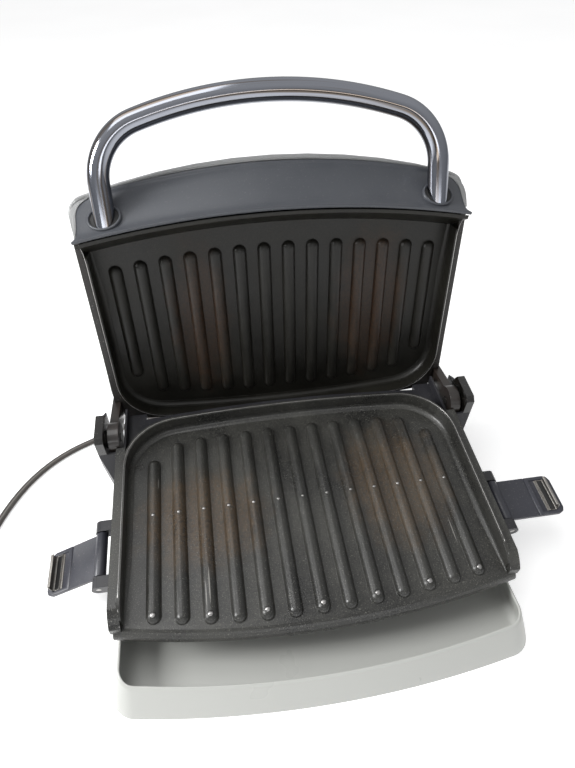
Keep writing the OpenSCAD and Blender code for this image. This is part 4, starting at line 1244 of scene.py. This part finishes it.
@dataclass
class Lid(Assembly):
    """Lid with cover, frame, upper plate, front panel and handle, in millimetres.

    A panel row holds its height over the lid's plane, its reach at the middle, how far it falls
    back at bow_at from the middle, and its half length. The cover's mouth is its half width, reach,
    corner radius and bow.
    """

    rows: tuple[tuple[float, float, float, float], ...] = (
        (20, 178.5, 14.3, 152.4), (16, 179.2, 14.6, 150.2), (12, 181, 15, 149.2), (5, 186, 16, 149.2),
        (-3, 192, 17.5, 149.6), (-7, 195.3, 18.5, 148.8), (-10, 197.7, 19.2, 147),
        (-12, 199.2, 19.4, 143.5), (-13, 200, 19, 139), (-13.9, 201.3, 19, 138.4),
        (-15, 202.3, 19, 138))
    bow_at: float = 150.0
    panel_wall: float = 2.3
    panel_rounding: float = 0.5
    mouth: tuple[float, float, float, float] = (154.6, 129.4, 10.7, 513.0)
    return_wall: float = 0.8
    half: float = 127.5
    top: float = 79.5
    bow: float = 320.0
    bend: float = 44.0
    foot: float = -10.8
    tube: float = 8.0
    # Direction that the panel faces at the right leg, and the collar's half height and half width
    panel_facing: Point = (0.1627, 0.8369, 0.5225)
    collar: Pair = (11.2, 13.2)
    # How far in from the collar's outside its profile runs, and its height over the panel
    collar_rows: tuple[Pair, ...] = (
        (0.0, -2.0), (0.0, 1.7), (0.2, 2.2), (0.6, 2.45), (1.1, 2.5), (1.6, 2.3), (1.8, 1.8),
        (1.8, 0.4))
    # Height over the panel of the dark ring that is painted shadow in the collar
    shadow_ring_height: float = 1.3

    def build(self) -> None:
        """Makes and dresses the lid."""
        f = self.finishes
        self.dress(f.silver, "lid_cover")
        self.dress(f.frame, "lid_frame")
        self.dress(f.upper, "upper_plate")
        self.dress(f.zinc, "cover_screws", "upper_plate_screws", "handle_screws")
        self.dress(f.sheath, "upper_element")
        self.dress(f.bright, "upper_reflector")
        self.dress(f.ceramic, "lid_thermostat")
        self.dress(f.sleeve, "lid_wiring")
        PlateTrim(f, "upper_plate", UPPER, Body.LID, f.upper, half=149, rear=93.7, corner=41,
                  front=-88, curl_from=-67.8, curl=26.7).build()
        self.panel()
        self.cover_return()
        self.handle()
        for side in (-1, 1):
            self.ring(side)

    def panel_point(self, u: float, v: float) -> Point:
        """Place on the panel.

        Args:
            u: how far across, from -1 to 1.
            v: how far up, from -1 to 1.

        Returns:
            The place in the lid's frame.
        """
        last = len(self.rows) - 1
        at = (v + 1) / 2 * last
        i = min(int(at), last - 1)
        four = (self.rows[k] for k in (max(i - 1, 0), i, i + 1, min(i + 2, last)))
        n, s, drop, half = (through(*values, at - i) for values in zip(*four))
        x = half * u
        return (x, s - drop * (x / self.bow_at) ** 2, n)

    def panel(self) -> None:
        """Bends the slate front panel and gives it its wall and round edges."""
        bm = sheet(72, 32, self.panel_wall, self.panel_point, (0, 1, 0))
        round_edges(bm, self.panel_rounding, 50)
        self.add("front_panel_skin", bm, LID, self.finishes.panel, Body.LID, Slot.PANEL,
                 ["front_panel"], 45)

    @staticmethod
    def shares(line: Sequence[Sequence[float]]) -> list[float]:
        """How far along a line its places lie, seen from the front.

        Args:
            line: the places.

        Returns:
            A number from 0 to 1 for each.
        """
        run = [0.0]
        for a, b in zip(line, line[1:]):
            run.append(run[-1] + math.hypot(b[0] - a[0], b[1] - a[1]))
        return [r / run[-1] for r in run]

    def paced(self, line: Sequence[Pair], wanted: Sequence[float]) -> list[Pair]:
        """Places on a line at wanted shares of its length.

        Args:
            line: the line's own places.
            wanted: the shares from 0 to 1, in rising order.

        Returns:
            A place for each share.
        """
        have = self.shares(line)
        out, k = [], 0
        for share in wanted:
            while k < len(line) - 2 and have[k + 1] < share:
                k += 1
            t = (share - have[k]) / max(1e-9, have[k + 1] - have[k])
            out.append(between(line[k], line[k + 1], t))
        return out

    def cover_return(self) -> None:
        """Closes the slit between the panel's edge and the cover with the cover's inward edge."""
        up, first, over, taper = 30, 5, 60, 11
        side = [-1 + 2 * k / up for k in range(first, up + 1)]
        edge = [self.panel_point(1, v) for v in side]
        edge += [self.panel_point(1 - 2 * k / over, 1) for k in range(1, over)]
        edge += [self.panel_point(-1, v) for v in reversed(side)]
        wide, start, last = self.mouth[0], edge[0][1], len(edge) - 1
        rim = [(x, UPPER_AT + y) for x, y in end_arc(*self.mouth)]
        near = self.paced([(wide, start)] + rim + [(-wide, start)], self.shares(edge))

        def place(u: float, v: float) -> Point:
            """Place between the panel's edge and the cover.

            Args:
                u: how far along the edge, from -1 to 1.
                v: how far from the panel to the cover, from -1 to 1.

            Returns:
                The place in the lid's frame.
            """
            i = min(last, round((u + 1) / 2 * last))
            t = (v + 1) / 2
            grown = math.sin(math.pi / 2 * min(1.0, (min(i, last - i) + 1) / taper))
            x, s = between(edge[i][:2], near[i], (1.04 * t - 0.04) * grown)
            return (x, s, edge[i][2] - 0.7 - 1.6 * t * t)

        self.add("cover_inward_edge", sheet(last, 3, self.return_wall, place), LID,
                 self.finishes.silver, Body.LID, Slot.COVER)

    def handle_line(self) -> list[Point]:
        """Middle line of the handle in its own plane.

        Returns:
            The places from the foot of the right leg to the foot of the left one.
        """
        low = self.top - self.bow
        far, inside = self.bow - self.bend, self.half - self.bend
        cv = low + math.sqrt(far * far - inside * inside)
        turn = math.degrees(math.atan2(cv - low, inside))
        legs = [(self.half, z) for z in (self.foot, 0.0, 8.0, 16.0)]
        right = legs + arc(inside, cv, self.bend, 0, turn, 24)
        bow = arc(0, low, self.bow, turn, 180 - turn, 60)[1:-1]
        return [(x, 0.0, z) for x, z in right + bow + [(-x, z) for x, z in reversed(right)]]

    def handle(self) -> None:
        """Sweeps the chrome tube."""
        ring = circle(self.tube, 45)
        bm = sweep(self.handle_line(), lambda _: ring, (0, 1, 0))
        self.add("handle_bar", bm, HANDLE, self.finishes.chrome, Body.LID, Slot.CHROME,
                 ["handle_tube"], 60)

    def ring(self, side: int) -> None:
        """Makes the collar round a leg, in the plane of the panel, and a dark ring in it, painted
        shadow.

        Args:
            side: -1 for the left leg, 1 for the right.
        """
        x, y, z = self.panel_facing
        leg = Matrix.Rotation(math.radians(HANDLE_TURN), 3, "X")
        normal = leg.transposed() @ Vector((side * x, y, z)).normalized()
        tilt = (Vector((0, 0, 1)) - normal * normal.z).normalized()
        cross = normal.cross(tilt)

        def band(rows: Sequence[Point]) -> Mesh:
            """Ring of ellipses, each with its half height, half width and height over the panel."""
            return loft([[tuple(Vector((side * self.half, 0, 0)) + normal * h + tilt * (a * cos)
                                + cross * (b * sin)) for cos, sin in circle(1, 48)]
                         for a, b, h in rows], capped=False)

        a, b = self.collar
        name = "left" if side < 0 else "right"
        self.add("collar_" + name, band([(a - out, b - out, h) for out, h in self.collar_rows]),
                 HANDLE, self.finishes.panel, Body.LID, Slot.PANEL,
                 ["handle_rings"] if side < 0 else [], 60)
        # Painted shadow: a dark ring in the collar round the leg, where there is only shade
        h = self.shadow_ring_height
        shadow_ring = band([(a - 4.0, self.tube - 0.2, h), (a - 1.5, b - 1.5, h)])
        bmesh.ops.solidify(shadow_ring, geom=shadow_ring.faces[:], thickness=0.3)
        self.add("collar_shadow_" + name, shadow_ring, HANDLE, self.finishes.rubber_and_shadow, Body.LID, Slot.PANEL)


def main() -> None:
    """Builds the scene, piece by piece."""
    logging.basicConfig(level=logging.INFO, format="%(message)s")
    Studio().build()
    finishes = Finishes()
    for kind in (Lead, BaseUnit, LowerPlate, DripTray, Hinges, Latches, Lid):
        LOG.info("building %s", kind.__name__)
        kind(finishes).build()


if __name__ == "__main__":
    main()
